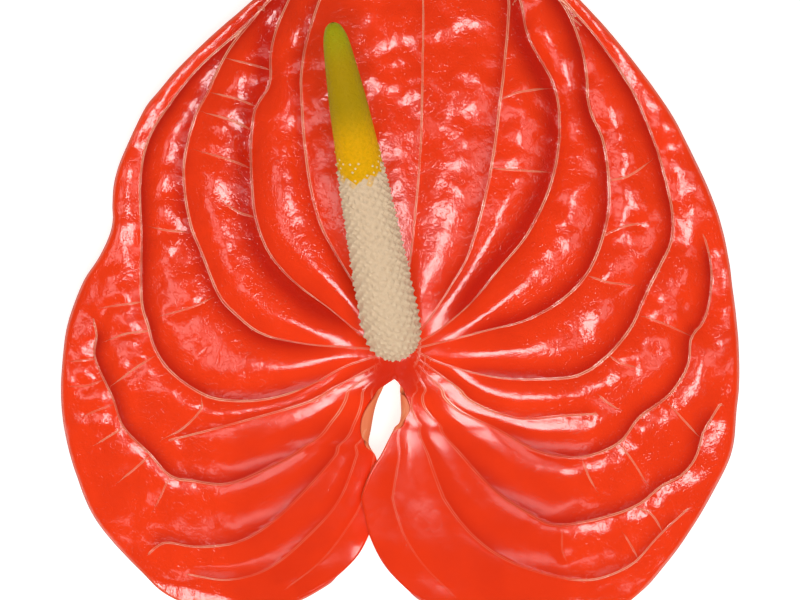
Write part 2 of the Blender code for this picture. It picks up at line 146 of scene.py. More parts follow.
def ease(x: np.ndarray) -> np.ndarray:
    """Steps smoothly from 0 at x = 0 to 1 at x = 1."""
    x = np.clip(x, 0, 1)
    return x * x * (3 - 2 * x)


def ramp(x: np.ndarray, low: float, high: float) -> np.ndarray:
    """Steps smoothly from 0 at low to 1 at high."""
    return ease((x - low) / (high - low))


def place(points: np.ndarray) -> np.ndarray:
    """Moves points from millimetres about the stem's joint, with heights over the floor, to the frame."""
    return (points + np.array([0.0, JOINT_Y, 0.0])) * MM


def add_piece(name: str, work: bmesh.types.BMesh, materials: list) -> bpy.types.Object:
    """Turns a finished bmesh into an object of the flower.

    Args:
        name: the piece's name.
        work: its bmesh, in metres in the frame's place; it is freed here.
        materials: its materials, in slot order.

    Returns:
        The new object, which rides on the root body.
    """
    mesh = bpy.data.meshes.new(name)
    work.to_mesh(mesh)
    work.free()
    mesh.shade_smooth()
    for material in materials:
        mesh.materials.append(material)
    piece = bpy.data.objects.new(name, mesh)
    bpy.context.scene.collection.objects.link(piece)
    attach(piece, "root")
    return piece


def store(mesh: bpy.types.Mesh, name: str, values: np.ndarray) -> None:
    """Keeps one number for each vertex of the mesh, under a name that a material can read."""
    mesh.attributes.new(name, "FLOAT", "POINT").data.foreach_set("value", np.asarray(values, np.float32))


def wrapped_grid(around: int, along: int) -> tuple[bmesh.types.BMesh, np.ndarray]:
    """Makes a sheet that is ready to be wrapped round a line.

    Args:
        around: its cells round the line.
        along: its cells along the line.

    Returns:
        The sheet's bmesh, and for each vertex its share of the way round and along, both from 0 to 1.
    """
    work = bmesh.new()
    bmesh.ops.create_grid(work, x_segments=around, y_segments=along, size=0.5)
    shares = np.array([v.co[:2] for v in work.verts]) + 0.5
    return work, shares


# Steps in which the courses of main and of cross veins are walked, and a distance out of every vein's reach
MAIN_WALK, CROSS_WALK, OUT_OF_REACH = 1.6, 0.8, 99.0

# Shares of its course over which a main vein grows in and thins out; one that runs into a lobe, whose second
# point lies below LOBE_Y, grows in slowly. The last value is where on the easing curve its end is
MAIN_START, LOBE_START, LOBE_Y, MAIN_END, MAIN_LAST = 0.16, 0.42, -4.0, 0.08, 0.35

# The same for a cross vein, which starts part grown
CROSS_ENDS, CROSS_FIRST, CROSS_LAST = 0.2, 0.55, 0.3

# Half width of a cross vein's own line at its ends and what its middle adds, and the share it tapers over
CROSS_HAIR, CROSS_GIRTH, CROSS_TAPER = 0.02, 0.14, 0.35

# Half width of a main vein's own line, what it gains up to DEEP_VEIN, and how it widens and then tapers
MAIN_HAIR, MAIN_GIRTH, DEEP_VEIN = 0.20, 0.17, 1.5
MAIN_FIRST, WIDENING, MAIN_TAPER = 0.45, 0.3, 0.4


@dataclass
class Vein:
    """One sunken vein of the blade: how deep it presses, how wide its sides are, and its course."""

    depth: float
    inner: float
    outer: float
    course: list
    cross: bool = False
    line: np.ndarray = field(init=False)

    def __post_init__(self) -> None:
        """Walks the course at an even step."""
        self.line = even(spline(self.course, SPAN_STEPS), CROSS_WALK if self.cross else MAIN_WALK)

    def measure(self, points: np.ndarray) -> tuple[np.ndarray, np.ndarray, np.ndarray]:
        """Finds each point's place beside the vein.

        Args:
            points: flat points as rows.

        Returns:
            The distance to the vein, the same with a sign that says on which side, and the share along it.
        """
        side = np.sign(self.course[-1][0] - self.course[0][0]) or 1.0
        gap = np.full(len(points), OUT_OF_REACH)
        signed = np.full(len(points), OUT_OF_REACH)
        share = np.zeros(len(points))
        for k, (a, b) in enumerate(zip(self.line, self.line[1:])):
            along = b - a
            offset = points - a
            t = np.clip(offset @ along / (along @ along), 0, 1)
            away = np.hypot(*(offset - t[:, None] * along).T)
            cross = (along[0] * offset[:, 1] - along[1] * offset[:, 0]) * side
            nearer = away < gap
            gap = np.where(nearer, away, gap)
            signed = np.where(nearer, np.where(cross < 0, -away, away), signed)
            share = np.where(nearer, (k + t) / (len(self.line) - 1), share)
        return gap, signed, share

    def near(self, points: np.ndarray) -> np.ndarray:
        """Picks the points that the vein can reach, as their numbers."""
        reach = max(self.inner, self.outer)
        low, high = self.line.min(axis=0) - reach, self.line.max(axis=0) + reach
        return np.flatnonzero(((points > low) & (points < high)).all(axis=1))

    def fade(self, share: np.ndarray) -> np.ndarray:
        """Gives the vein's strength along its course, which grows in at the start and thins at the end."""
        if self.cross:
            return ease(share / CROSS_ENDS + CROSS_FIRST) * ease((1 - share) / CROSS_ENDS + CROSS_LAST)
        start = LOBE_START if self.course[1][1] < LOBE_Y else MAIN_START
        return ease(share / start) * ease((1 - share) / MAIN_END + MAIN_LAST)

    def width(self, share: np.ndarray) -> np.ndarray:
        """Gives the vein's own half width in millimetres, which tapers along its course."""
        if self.cross:
            return CROSS_HAIR + CROSS_GIRTH * ease(share / CROSS_ENDS) * ease((1 - share) / CROSS_TAPER)
        girth = MAIN_HAIR + MAIN_GIRTH * min(1.0, self.depth / DEEP_VEIN)
        widening = MAIN_FIRST + (1 - MAIN_FIRST) * ease(share / WIDENING)
        return girth * widening * (1 - MAIN_TAPER * share)


@dataclass
class VeinMarks:
    """Where one kind of vein runs, for each point: its distance, the same signed by side, and half width."""

    gap: np.ndarray
    side: np.ndarray
    width: np.ndarray

    def take(self, ids: np.ndarray, away: np.ndarray, signed: np.ndarray, width: np.ndarray) -> None:
        """Keeps a vein's marks at the points where it is nearer than those before it."""
        closer = away < self.gap[ids]
        for kept, new in ((self.gap, away), (self.side, signed), (self.width, width)):
            kept[ids] = np.where(closer, new, kept[ids])


@dataclass
class BladeField:
    """What the veins do at flat points: the relief, the painted shade on their slopes, and their lines'
    marks.
    """

    press: np.ndarray
    shade: np.ndarray
    main: VeinMarks
    cross: VeinMarks


@dataclass
class Spathe:
    """The heart-shaped blade, as one sheet with a grid that fans out from the top of its notch."""

    # The grid's cells round the rim and out to it, how they crowd at the rim, and the notch's top
    columns: int = 410
    rings: int = 116
    ring_power: float = 0.88
    notch: tuple = (-1.1, -4.0)

    # How far the sides and the tip droop, from where, and how fast
    middle: float = 0.5
    side_droop: float = 9.0
    side_half: float = 66.0
    side_power: float = 2.2
    tip_droop: float = 7.0
    tip_start: float = 28.0
    tip_length: float = 70.0

    # How far the lobes droop, steadily near the middle and ever steeper outside it, and how long each is
    lobe_droop: float = 19.0
    lobe_power: float = 1.7
    inner_droop: float = 0.62
    inner_power: float = 0.95
    inner_width: tuple = (6.0, 36.0)
    left_reach: float = 48.5
    right_reach: float = 52.2

    # The hollow round the joint, which runs on towards the notch
    joint: tuple = (-0.2, 2.2)
    dimple_reach: float = 9.0
    dimple_notch_reach: float = 30.0

    # The notch's rolled margins, and how the right lobe's edge is lifted over the left one's
    roll_radius: float = 0.62
    close_reach: float = 17.0
    lobe_lift: float = 1.1
    lift_reach: float = 11.0
    lift_foot: tuple = (-43.0, -35.0)
    lift_top: tuple = (-4.0, -24.0)

    # How gently the blade comes to rest on the floor, and how its rim turns down
    floor_soft: float = 0.7
    rim_turn: float = 0.45
    rim_reach: float = 1.4

    # The swellings between the veins: their sizes and heights, what is left of them near the joint, and how
    # far from it they grow, in two stages
    swellings: tuple = ((6.5, 0.34), (2.8, 0.187))
    joint_swelling: float = 0.15
    swelling_start: tuple = (20.0, 42.0)
    outer_swelling: float = 0.8
    outer_start: tuple = (42.0, 56.0)
    calm: float = 0.9

    # The smooth inner part of the lobes, by y and by distance from the middle
    inner_y: tuple = (-8.0, -16.0)
    inner_x: tuple = (26.0, 40.0)

    # Painted shade left on the slope outside a vein, and how far the streaks' lanes spread round the blade
    outer_shade: float = 0.25
    lanes: float = 300.0

    # How finely the outline is drawn, and which of its points are the notch's lower corners
    rim_steps: int = 8
    rim_walk: float = 0.4
    margin_half: float = 14.0
    margin_top: float = -3.9
    right_corner: int = 26
    left_corner: int = 13

    # Where each margin of the open notch shows, by the flat y, and how much of it rolls over
    notch_foot: float = -19.9
    right_edge: tuple = (
        (-19.9, -18.2, -16.0, -13.8, -12.8, -11.0, -9.6, -6.9, -5.2, -4.0),
        (-4.4, -3.4, -2.3, -1.1, 0.1, 0.55, 0.55, 0.4, 0.0, -1.1),
    )
    left_edge: tuple = (
        (-19.9, -18.7, -17.8, -16.4, -13.6, -9.75, -6.9, -5.2, -4.0),
        (-4.4, -4.8, -5.5, -6.4, -5.9, -5.2, -4.2, -2.9, -1.1),
    )
    right_curl: tuple = (
        (-14.0, -13.2, -12.2, -10.8, -9.4, -7.4, -6.2, -5.2),
        (0.0, 0.6, 1.6, 2.4, 2.65, 1.9, 0.7, 0.0),
    )
    left_curl: tuple = (
        (-17.8, -17.1, -16.4, -15.3, -13.5, -11.0, -8.4, -6.6, -5.2),
        (0.0, 0.5, 1.2, 2.3, 3.0, 2.95, 2.1, 0.9, 0.0),
    )

    # How far the margins draw together below the open notch, where the right lobe lies over the left one
    right_closing: tuple = ((-47.0, -42.0, -34.0, -27.0, -19.9), (0.0, 1.5, 3.9, 4.8, 3.02))
    left_closing: tuple = ((-45.0, -38.0, -30.0, -22.0, -19.9), (0.0, 1.2, 2.1, 2.3, 2.36))

    # Right half of the flat outline, from the tip down to the notch
    right_rim: list = field(default_factory=lambda: [
        (5.2, 97.5), (8.0, 92.5), (12.4, 88.3), (20.1, 82.2), (27.7, 75.7), (34.8, 68.4), (40.5, 62.1),
        (46.3, 54.9), (51.6, 47.4), (56.0, 39.2), (60.4, 29.4), (62.9, 20.6), (64.2, 11.1), (65.0, 3.4),
        (65.2, -4.2), (64.8, -10.3), (63.9, -18.2), (60.4, -26.0), (56.0, -33.8), (51.2, -40.5),
        (47.0, -45.5), (42.0, -49.6), (35.0, -53.2), (26.0, -54.8), (16.0, -53.4), (8.5, -50.2),
        (3.6, -46.3), (1.2, -43.6), (-0.6, -40.6), (-1.6, -37.4), (-2.2, -33.0), (-2.6, -28.5),
        (-2.6, -25.0), (-2.0, -21.5), (-0.7, -18.2), (0.9, -14.8), (1.3, -12.4), (0.8, -9.6), (0.4, -7.2),
        (-0.2, -5.2), (-1.1, -4.0),
    ])

    # The other half, from the notch round the left lobe and up to the tip
    left_rim: list = field(default_factory=lambda: [
        (-1.1, -4.0), (-2.3, -4.9), (-3.6, -7.0), (-4.5, -9.8), (-5.3, -13.0), (-7.2, -16.0),
        (-7.5, -17.6), (-6.8, -19.6), (-6.5, -21.6), (-6.4, -24.5), (-6.8, -29.5), (-7.7, -34.4),
        (-9.7, -38.9), (-13.8, -43.4), (-18.6, -46.6), (-25.0, -49.2), (-32.0, -50.0), (-39.5, -48.9),
        (-46.3, -45.8), (-51.0, -41.0), (-55.4, -36.1), (-59.5, -30.4), (-62.3, -23.3), (-64.2, -16.3),
        (-65.2, -8.4), (-64.8, 0.6), (-63.9, 6.3), (-62.3, 11.1), (-60.4, 15.3), (-57.7, 19.3),
        (-55.6, 23.7), (-55.0, 26.6), (-55.1, 29.3), (-54.7, 34.0), (-53.0, 39.2), (-49.2, 47.4),
        (-46.5, 50.9), (-42.3, 55.8), (-35.9, 61.9), (-28.5, 68.4), (-19.1, 76.5), (-10.5, 83.0),
        (-2.9, 88.7), (1.9, 92.9), (5.2, 97.5),
    ])

    # Main veins: depth, reach on the inner and the outer side, and the course from the joint out
    main_veins: list = field(default_factory=lambda: [
        (0.5, 6.0, 6.0, [(0.4, 2.5), (1.0, 11.1), (2.7, 25.4), (4.0, 41.7), (4.4, 60.8), (4.6, 80.0),
            (5.2, 94.0)]),
        (1.2, 6.5, 6.5, [(-1.5, 2.5), (-5.4, 8.8), (-12.2, 19.9), (-15.7, 27.1), (-17.9, 38.0),
            (-18.9, 50.9), (-18.4, 58.0), (-16.4, 65.6), (-12.4, 75.1), (-5.4, 84.7), (1.5, 92.3)]),
        (2.3, 9.0, 6.0, [(-2.3, 1.9), (-7.3, 4.4), (-13.4, 9.4), (-19.9, 14.3), (-24.9, 19.9),
            (-27.5, 26.4), (-28.3, 33.1), (-28.5, 41.7), (-27.7, 47.8), (-24.9, 52.4), (-24.7, 58.5),
            (-23.1, 64.6), (-19.1, 72.3), (-10.5, 81.8), (-1.0, 91.0)]),
        (1.6, 6.5, 6.0, [(-3.1, 1.5), (-10.5, 2.1), (-18.2, 2.7), (-26.4, 4.6), (-31.7, 8.6),
            (-34.8, 12.2), (-37.7, 19.5), (-40.1, 25.4), (-41.3, 32.5), (-41.3, 38.2), (-39.6, 45.5),
            (-36.9, 50.9), (-32.9, 58.9), (-27.5, 65.8), (-21.0, 73.8), (-11.5, 83.0), (-2.3, 90.2)]),
        (1.5, 6.0, 5.0, [(-3.1, 0.8), (-10.5, -1.5), (-18.2, -5.7), (-26.4, -8.0), (-34.4, -8.0),
            (-39.0, -6.3), (-44.0, -2.7), (-47.0, 1.5), (-48.4, 6.3), (-49.7, 11.1), (-49.7, 22.6),
            (-49.9, 34.0), (-48.4, 41.7), (-44.9, 47.8), (-39.0, 55.4), (-30.6, 63.1), (-22.0, 71.5)]),
        (0.9, 5.0, 5.0, [(-3.8, -0.8), (-9.6, -4.0), (-15.7, -7.5), (-23.3, -10.1), (-37.3, -14.0),
            (-44.0, -15.7)]),
        (1.5, 6.0, 5.0, [(-3.4, -1.5), (-8.6, -5.4), (-13.4, -10.9), (-18.4, -16.4), (-26.4, -21.4),
            (-33.5, -24.3), (-39.8, -23.7), (-44.4, -22.8), (-48.6, -18.2), (-53.3, -13.4), (-55.3, -7.6),
            (-57.4, -3.4), (-58.9, 0.8), (-58.3, 3.8), (-58.9, 6.9)]),
        (1.2, 6.0, 6.0, [(-3.1, -2.3), (-7.3, -7.1), (-12.4, -15.7), (-18.0, -23.7), (-24.9, -31.4),
            (-31.4, -35.6), (-39.2, -36.7), (-45.5, -35.8), (-48.6, -37.9)]),
        (0.8, 5.0, 5.0, [(-4.0, -4.5), (-6.9, -9.9), (-10.2, -17.6), (-13.4, -27.1), (-19.1, -34.8),
            (-25.8, -40.9), (-33.5, -43.2), (-41.1, -42.1)]),
        (1.2, 6.5, 6.5, [(2.3, 3.1), (5.7, 7.6), (9.9, 14.1), (13.4, 20.6), (17.0, 34.0), (19.1, 48.4),
            (20.6, 63.7), (20.3, 71.3), (15.7, 81.8), (8.8, 91.0)]),
        (2.3, 9.0, 6.0, [(3.1, 2.7), (7.6, 5.4), (13.8, 10.7), (19.1, 17.2), (23.7, 22.6), (27.1, 28.7),
            (29.3, 34.4), (30.4, 40.1), (30.6, 47.0), (29.3, 53.1), (26.4, 58.1), (24.3, 62.7),
            (22.9, 69.4), (18.0, 80.3), (9.9, 90.6)]),
        (1.8, 7.0, 6.0, [(3.4, 1.9), (9.6, 3.4), (17.2, 5.4), (23.9, 7.1), (30.2, 10.5), (35.0, 14.9),
            (38.0, 20.5), (40.0, 27.9), (40.0, 35.0), (38.8, 42.1), (36.3, 47.8), (35.8, 54.7),
            (34.0, 62.3), (30.6, 68.8), (22.9, 78.0), (13.0, 88.3)]),
        (1.6, 6.5, 5.0, [(3.4, 1.1), (9.6, -1.5), (19.1, -3.8), (28.7, -4.0), (34.8, -3.1), (40.1, 0.6),
            (44.4, 5.9), (46.6, 10.7), (49.7, 17.2), (52.2, 22.6), (52.2, 28.7), (50.5, 36.3),
            (48.8, 41.7), (45.5, 49.7), (40.7, 57.4), (35.9, 63.9), (29.8, 70.7)]),
        (0.9, 5.0, 5.0, [(3.4, 0.0), (8.6, -3.8), (14.9, -8.4), (22.9, -11.5), (30.6, -11.1),
            (37.5, -10.7)]),
        (1.6, 6.0, 5.0, [(3.1, -0.8), (7.6, -5.7), (13.4, -10.5), (20.1, -14.1), (26.8, -18.0),
            (34.8, -19.1), (42.1, -16.3), (46.1, -11.3), (51.6, -7.3), (55.4, -1.5), (56.0, 3.8),
            (58.5, 6.9), (59.8, 11.9), (59.8, 18.4), (58.5, 23.3)]),
        (1.5, 6.5, 5.5, [(2.7, -1.5), (6.1, -8.4), (12.4, -17.6), (19.1, -25.6), (24.9, -29.8),
            (29.8, -32.3), (37.9, -31.2), (45.9, -28.5), (50.1, -25.0), (54.5, -22.6), (57.2, -19.1),
            (58.3, -14.9), (61.6, -9.0)]),
        (1.0, 6.0, 5.0, [(2.6, -4.0), (5.2, -11.9), (8.6, -21.4), (13.2, -31.4), (19.1, -37.9),
            (26.8, -41.5), (36.3, -43.2), (44.4, -40.5), (49.9, -34.8), (55.4, -29.4)]),
    ])

    # Short cross veins between the main ones, all alike in depth and reach
    cross_depth: float = 0.55
    cross_reach: float = 3.2
    cross_veins: list = field(default_factory=lambda: [
        [(-49.5, 10.7), (-53.9, 10.1), (-57.7, 9.6)], [(-47.4, 5.2), (-52.6, 4.6), (-56.6, 3.1)],
        [(-47.0, 0.4), (-50.7, -1.9), (-55.4, -5.4)], [(-58.7, -0.2), (-61.2, -0.6), (-63.7, -0.8)],
        [(-57.2, -4.4), (-60.2, -5.4), (-63.5, -5.5)], [(-55.3, -9.0), (-58.3, -10.1), (-61.4, -11.5)],
        [(-53.3, -13.4), (-56.4, -15.3), (-58.9, -16.8)], [(-48.2, -18.9), (-51.2, -21.4), (-54.5, -24.1)],
        [(-44.4, -22.8), (-46.3, -26.8), (-47.8, -29.6)],
        [(-38.2, -7.6), (-38.2, -9.9), (-41.7, -13.4), (-45.9, -15.7)],
        [(-40.9, 24.1), (-44.9, 24.5), (-47.8, 25.2)], [(-35.9, 11.5), (-40.1, 9.6), (-45.9, 8.0)],
        [(35.9, 15.7), (39.8, 14.5), (44.7, 14.0)], [(46.6, 8.0), (51.2, 6.3), (55.8, 4.2)],
        [(40.1, 0.4), (42.4, -1.1), (45.9, -1.9)], [(51.6, -8.8), (54.5, -11.9), (57.5, -15.3)],
        [(42.4, -16.6), (45.1, -20.3), (47.8, -24.5)], [(35.0, -19.5), (36.3, -22.8), (37.9, -25.6)],
        [(45.9, -29.1), (48.6, -30.2), (50.9, -33.8)], [(31.4, -33.3), (31.4, -37.1), (32.5, -39.8)],
        [(43.2, -34.0), (44.7, -36.3), (46.1, -39.0)], [(37.9, -6.9), (40.1, -8.8), (42.4, -10.1)],
        [(-27.5, 48.2), (-31.4, 49.7), (-36.3, 50.9)], [(-24.7, 55.1), (-28.7, 56.2), (-33.3, 57.4)],
        [(-28.3, 43.6), (-32.1, 45.5), (-37.5, 47.0)], [(-28.7, 36.3), (-33.5, 38.2), (-39.0, 39.8)],
        [(-27.5, 26.8), (-31.0, 27.9), (-34.4, 30.2)], [(39.8, 34.0), (43.6, 34.8), (48.2, 37.9)],
        [(38.2, 22.9), (43.0, 25.2), (47.8, 26.0)], [(19.1, 49.3), (22.9, 50.9), (28.7, 51.6)],
        [(17.6, 36.3), (22.9, 35.9), (28.7, 35.6)],
    ])

    # Faint folds in the smooth inner part of each lobe
    fold_depth: float = 0.35
    fold_reach: float = 3.5
    folds: list = field(default_factory=lambda: [
        [(-6.5, -13.8), (-8.6, -25.2), (-11.9, -32.9), (-16.3, -39.6), (-22.0, -44.7)],
        [(1.5, -4.2), (2.4, -17.6), (3.1, -29.1), (5.6, -38.6), (10.5, -45.9)],
    ])

    def veins(self) -> list[Vein]:
        """Gathers the main veins, the cross veins and the folds."""
        cross = (self.cross_depth, self.cross_reach, self.cross_reach)
        fold = (self.fold_depth, self.fold_reach, self.fold_reach)
        main = [Vein(*v) for v in self.main_veins]
        return main + [Vein(*cross, c, True) for c in self.cross_veins] + [Vein(*fold, c) for c in self.folds]

    def read_veins(self, flat: np.ndarray) -> BladeField:
        """Works out what all the veins do at the flat points.

        Args:
            flat: flat points as rows.

        Returns:
            The relief, the painted shade on the veins' inner slopes, and the vein marks at each point.
        """
        cubes, painted_shade_cubes = np.zeros(len(flat)), np.zeros(len(flat))
        nothing_near = (9.0, 9.0, 0.1)
        main, cross = (VeinMarks(*(np.full(len(flat), v) for v in nothing_near)) for _ in range(2))
        for vein in self.veins():
            ids = vein.near(flat)
            away, side_gap, share = vein.measure(flat[ids])
            reach = np.where(side_gap < 0, vein.outer, vein.inner)
            press = vein.depth * vein.fade(share) * np.clip(1 - away / reach, 0, 1) ** 2
            cubes[ids] += press**3
            # Painted shade: darker colour on each main vein's inner slope, much less on its outer one
            if not vein.cross:
                inside = self.outer_shade + (1 - self.outer_shade) * ease(side_gap + 0.5)
                painted_shade_cubes[ids] += (press * inside) ** 3
            (cross if vein.cross else main).take(ids, away, side_gap, vein.width(share))
        return BladeField(np.cbrt(cubes), np.cbrt(painted_shade_cubes), main, cross)

    def inner_lobe(self, flat: np.ndarray) -> np.ndarray:
        """Marks the smooth inner part of each lobe, from 0 to 1."""
        return ramp(flat[:, 1], *self.inner_y) * (1 - ramp(np.abs(flat[:, 0]), *self.inner_x))

    def blisters(self, flat: np.ndarray) -> np.ndarray:
        """Raises small irregular swellings between the veins, and none near the joint or inside the lobes.

        Args:
            flat: flat points as rows.

        Returns:
            The height that they add at each point.
        """
        from_joint = np.hypot(flat[:, 0], flat[:, 1])
        amount = self.joint_swelling + (1 - self.joint_swelling) * ramp(from_joint, *self.swelling_start)
        amount *= 1 - self.calm * self.inner_lobe(flat)
        amount *= 1 + self.outer_swelling * ramp(from_joint, *self.outer_start)
        total = np.zeros(len(flat))
        for size, height in self.swellings:
            total += height * np.array([noise.noise(Vector((x / size, y / size, size))) for x, y in flat])
        return amount * total

    def notch_side(self, rim: list, y: np.ndarray) -> np.ndarray:
        """Gives the x of a lobe's notch margin at each y."""
        fine = spline(rim, self.rim_steps)
        inner = fine[(np.abs(fine[:, 0]) < self.margin_half) & (fine[:, 1] < self.margin_top)]
        inner = inner[np.argsort(inner[:, 1])]
        return np.interp(y, inner[:, 1], inner[:, 0])

    def smooth_table(self, table: tuple, y: np.ndarray) -> np.ndarray:
        """Reads a table smoothly at each y, never below its lowest value."""
        fine = spline(list(zip(*table)), self.rim_steps)
        return np.maximum(np.interp(y, fine[:, 0], fine[:, 1]), min(table[1]))

    def bend(self, flat: np.ndarray, right: np.ndarray, press: np.ndarray) -> np.ndarray:
        """Bends the flat blade to its real form.

        Args:
            flat: flat points as rows.
            right: which of them belong to the right half.
            press: how far the veins press each point down.

        Returns:
            The points of the blade's middle surface, with heights over the floor.
        """
        x, y = flat[:, 0].copy(), flat[:, 1].copy()
        side = np.where(right, 1.0, -1.0)

        def of_side(read: Callable, right_table: object, left_table: object) -> np.ndarray:
            """Reads each point's own side of a pair of tables."""
            return np.where(right, read(right_table, y), read(left_table, y))

        rim = of_side(self.notch_side, self.right_rim, self.left_rim)
        from_rim = np.clip((x - rim) * side, 0, None)
        low = y < self.notch[1]
        near = np.exp(-((from_rim / self.close_reach) ** 2)) * low
        curl = of_side(self.smooth_table, self.right_curl, self.left_curl) * low
        edge = of_side(self.smooth_table, self.right_edge, self.left_edge)
        fold = curl - self.roll_radius * np.sin(np.minimum(curl / self.roll_radius, math.pi / 2))
        below = np.where(right, np.interp(y, *self.right_closing), np.interp(y, *self.left_closing))
        closing = np.where(y > self.notch_foot, (rim - edge) * side + fold, below)
        wrap = np.clip(curl - from_rim, 0, None)
        half_turn = math.pi * self.roll_radius
        turned = np.clip(wrap, 0, half_turn) / self.roll_radius
        beyond = np.clip(wrap - half_turn, 0, None)
        x += side * (wrap - self.roll_radius * np.sin(turned) + beyond)
        x -= side * closing * near

        outward = np.abs(x - self.middle)
        lobe = np.clip(-y, 0, None) / np.where(right, self.right_reach, self.left_reach)
        outer = ramp(outward, *self.inner_width)
        droop = lobe ** (self.inner_power + (self.lobe_power - self.inner_power) * outer)
        z = JOINT_Z - self.side_droop * (outward / self.side_half) ** self.side_power
        z -= self.tip_droop * (np.clip(y - self.tip_start, 0, None) / self.tip_length) ** 2
        z -= self.lobe_droop * droop * (self.inner_droop + (1 - self.inner_droop) * outer)
        across, along = x - self.joint[0], y - self.joint[1]
        along = along / np.where(along < 0, self.dimple_notch_reach, self.dimple_reach)
        z -= DIMPLE * np.exp(-((across / self.dimple_reach) ** 2) - along**2)
        lift = ramp(y, *self.lift_foot) * ramp(y, *self.lift_top)
        z += self.lobe_lift * side * lift * np.exp(-((from_rim / self.lift_reach) ** 2)) * low
        z += self.roll_radius * (1 - np.cos(turned)) - press
        above = z - BLADE / 2
        settled = np.clip(above + self.floor_soft, 0, None) ** 2 / (4 * self.floor_soft)
        z = BLADE / 2 + np.where(above > self.floor_soft, above, settled)
        return np.stack([x, y, z], axis=1)

    def fan(self, shares: np.ndarray) -> tuple[np.ndarray, np.ndarray]:
        """Spreads the grid over the flat blade, as rays from the notch's top out to the rim.

        Args:
            shares: for each vertex, its share of the way round the rim and out along its ray.

        Returns:
            The flat points, and each one's distance to the rim along its ray.
        """
        right = spline(self.right_rim, self.rim_steps)[::-1]
        left = spline(self.left_rim, self.rim_steps)[::-1]
        right_cut = (len(self.right_rim) - 1 - self.right_corner) * self.rim_steps
        left_cut = len(left) - 1 - self.left_corner * self.rim_steps
        top = np.array(self.notch)

        def polar(line: np.ndarray, turn: float) -> tuple[np.ndarray, np.ndarray]:
            """Gives each point's distance and direction from the notch's top, turned on by whole rounds."""
            off = line - top
            angle = np.unwrap(np.arctan2(off[:, 1], off[:, 0])[::-1])[::-1]
            return np.hypot(*off.T), angle + turn

        r_near, a_near = polar(right[1:right_cut + 1], 0.0)
        left_margin = left[left_cut:-1][::-1]
        r_far, a_far = polar(left_margin, 2 * math.pi)
        halves = (even(half, self.rim_walk) for half in (right[right_cut:], left[:left_cut + 1]))
        outer = np.vstack([next(halves), next(halves)[1:]])
        off = outer - top
        r_out = np.hypot(*off.T)
        a_out = np.unwrap(np.arctan2(off[:, 1], off[:, 0]))

        def opening(r: np.ndarray) -> tuple[np.ndarray, np.ndarray]:
            """Gives the direction where the blade starts at a distance, and how far round it goes on."""
            first = np.interp(r, r_near, a_near)
            return first, np.interp(r, r_far, a_far) - first

        first, width = opening(r_out)
        turn_share = np.maximum.accumulate((a_out - first) / width)
        turn_share = (turn_share - turn_share[0]) / (turn_share[-1] - turn_share[0])
        rim_share = length_along(outer) / length_along(outer)[-1]
        tip = np.argmax(outer[:, 1])
        marks = np.interp(1 - shares[:, 0], [0, 0.5, 1], [0, rim_share[tip], 1])
        reach = np.interp(marks, rim_share, r_out)
        r = reach * shares[:, 1] ** self.ring_power
        first, width = opening(r)
        angle = first + np.interp(marks, rim_share, turn_share) * width
        flat = top + np.stack([r * np.cos(angle), r * np.sin(angle)], axis=1)
        return flat, reach - r

    def build(self, materials: list) -> bpy.types.Object:
        """Builds the blade and dresses it.

        Args:
            materials: the finishes of its face, its underside and its rim.

        Returns:
            The blade's object.
        """
        work, shares = wrapped_grid(self.columns, self.rings)
        pole = [v for v, share in zip(work.verts, shares) if share[1] < SAME_SHARE]
        bmesh.ops.pointmerge(work, verts=pole, merge_co=(0.0, -0.5, 0.0))
        shares = np.array([v.co[:2] for v in work.verts]) + 0.5
        flat, to_rim = self.fan(shares)
        marks = self.read_veins(flat)
        turned_down = self.rim_turn * np.clip(1 - to_rim / self.rim_reach, 0, 1) ** 2
        relief = marks.press - self.blisters(flat) + turned_down
        points = place(self.bend(flat, shares[:, 0] > 0.5, relief))
        for vertex, point in zip(work.verts, points):
            vertex.co = point
        piece = add_piece("spathe_blade", work, materials)
        kept = {
            "painted_valley_shade": marks.shade, "to_rim": to_rim, "ray": shares[:, 0] * self.lanes,
            "reach": np.hypot(*(flat - np.array(self.notch)).T), "inner_lobe": self.inner_lobe(flat),
        }
        for kind, lines in (("main", marks.main), ("cross", marks.cross)):
            kept |= {f"{kind}_gap": lines.gap, f"{kind}_side": lines.side, f"{kind}_width": lines.width}
        for name, values in kept.items():
            store(piece.data, name, values)
        wall = piece.modifiers.new("wall", "SOLIDIFY")
        wall.thickness = BLADE * MM
        wall.offset = 0.0
        wall.material_offset = 1
        wall.material_offset_rim = 2
        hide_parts("spathe")
        return piece


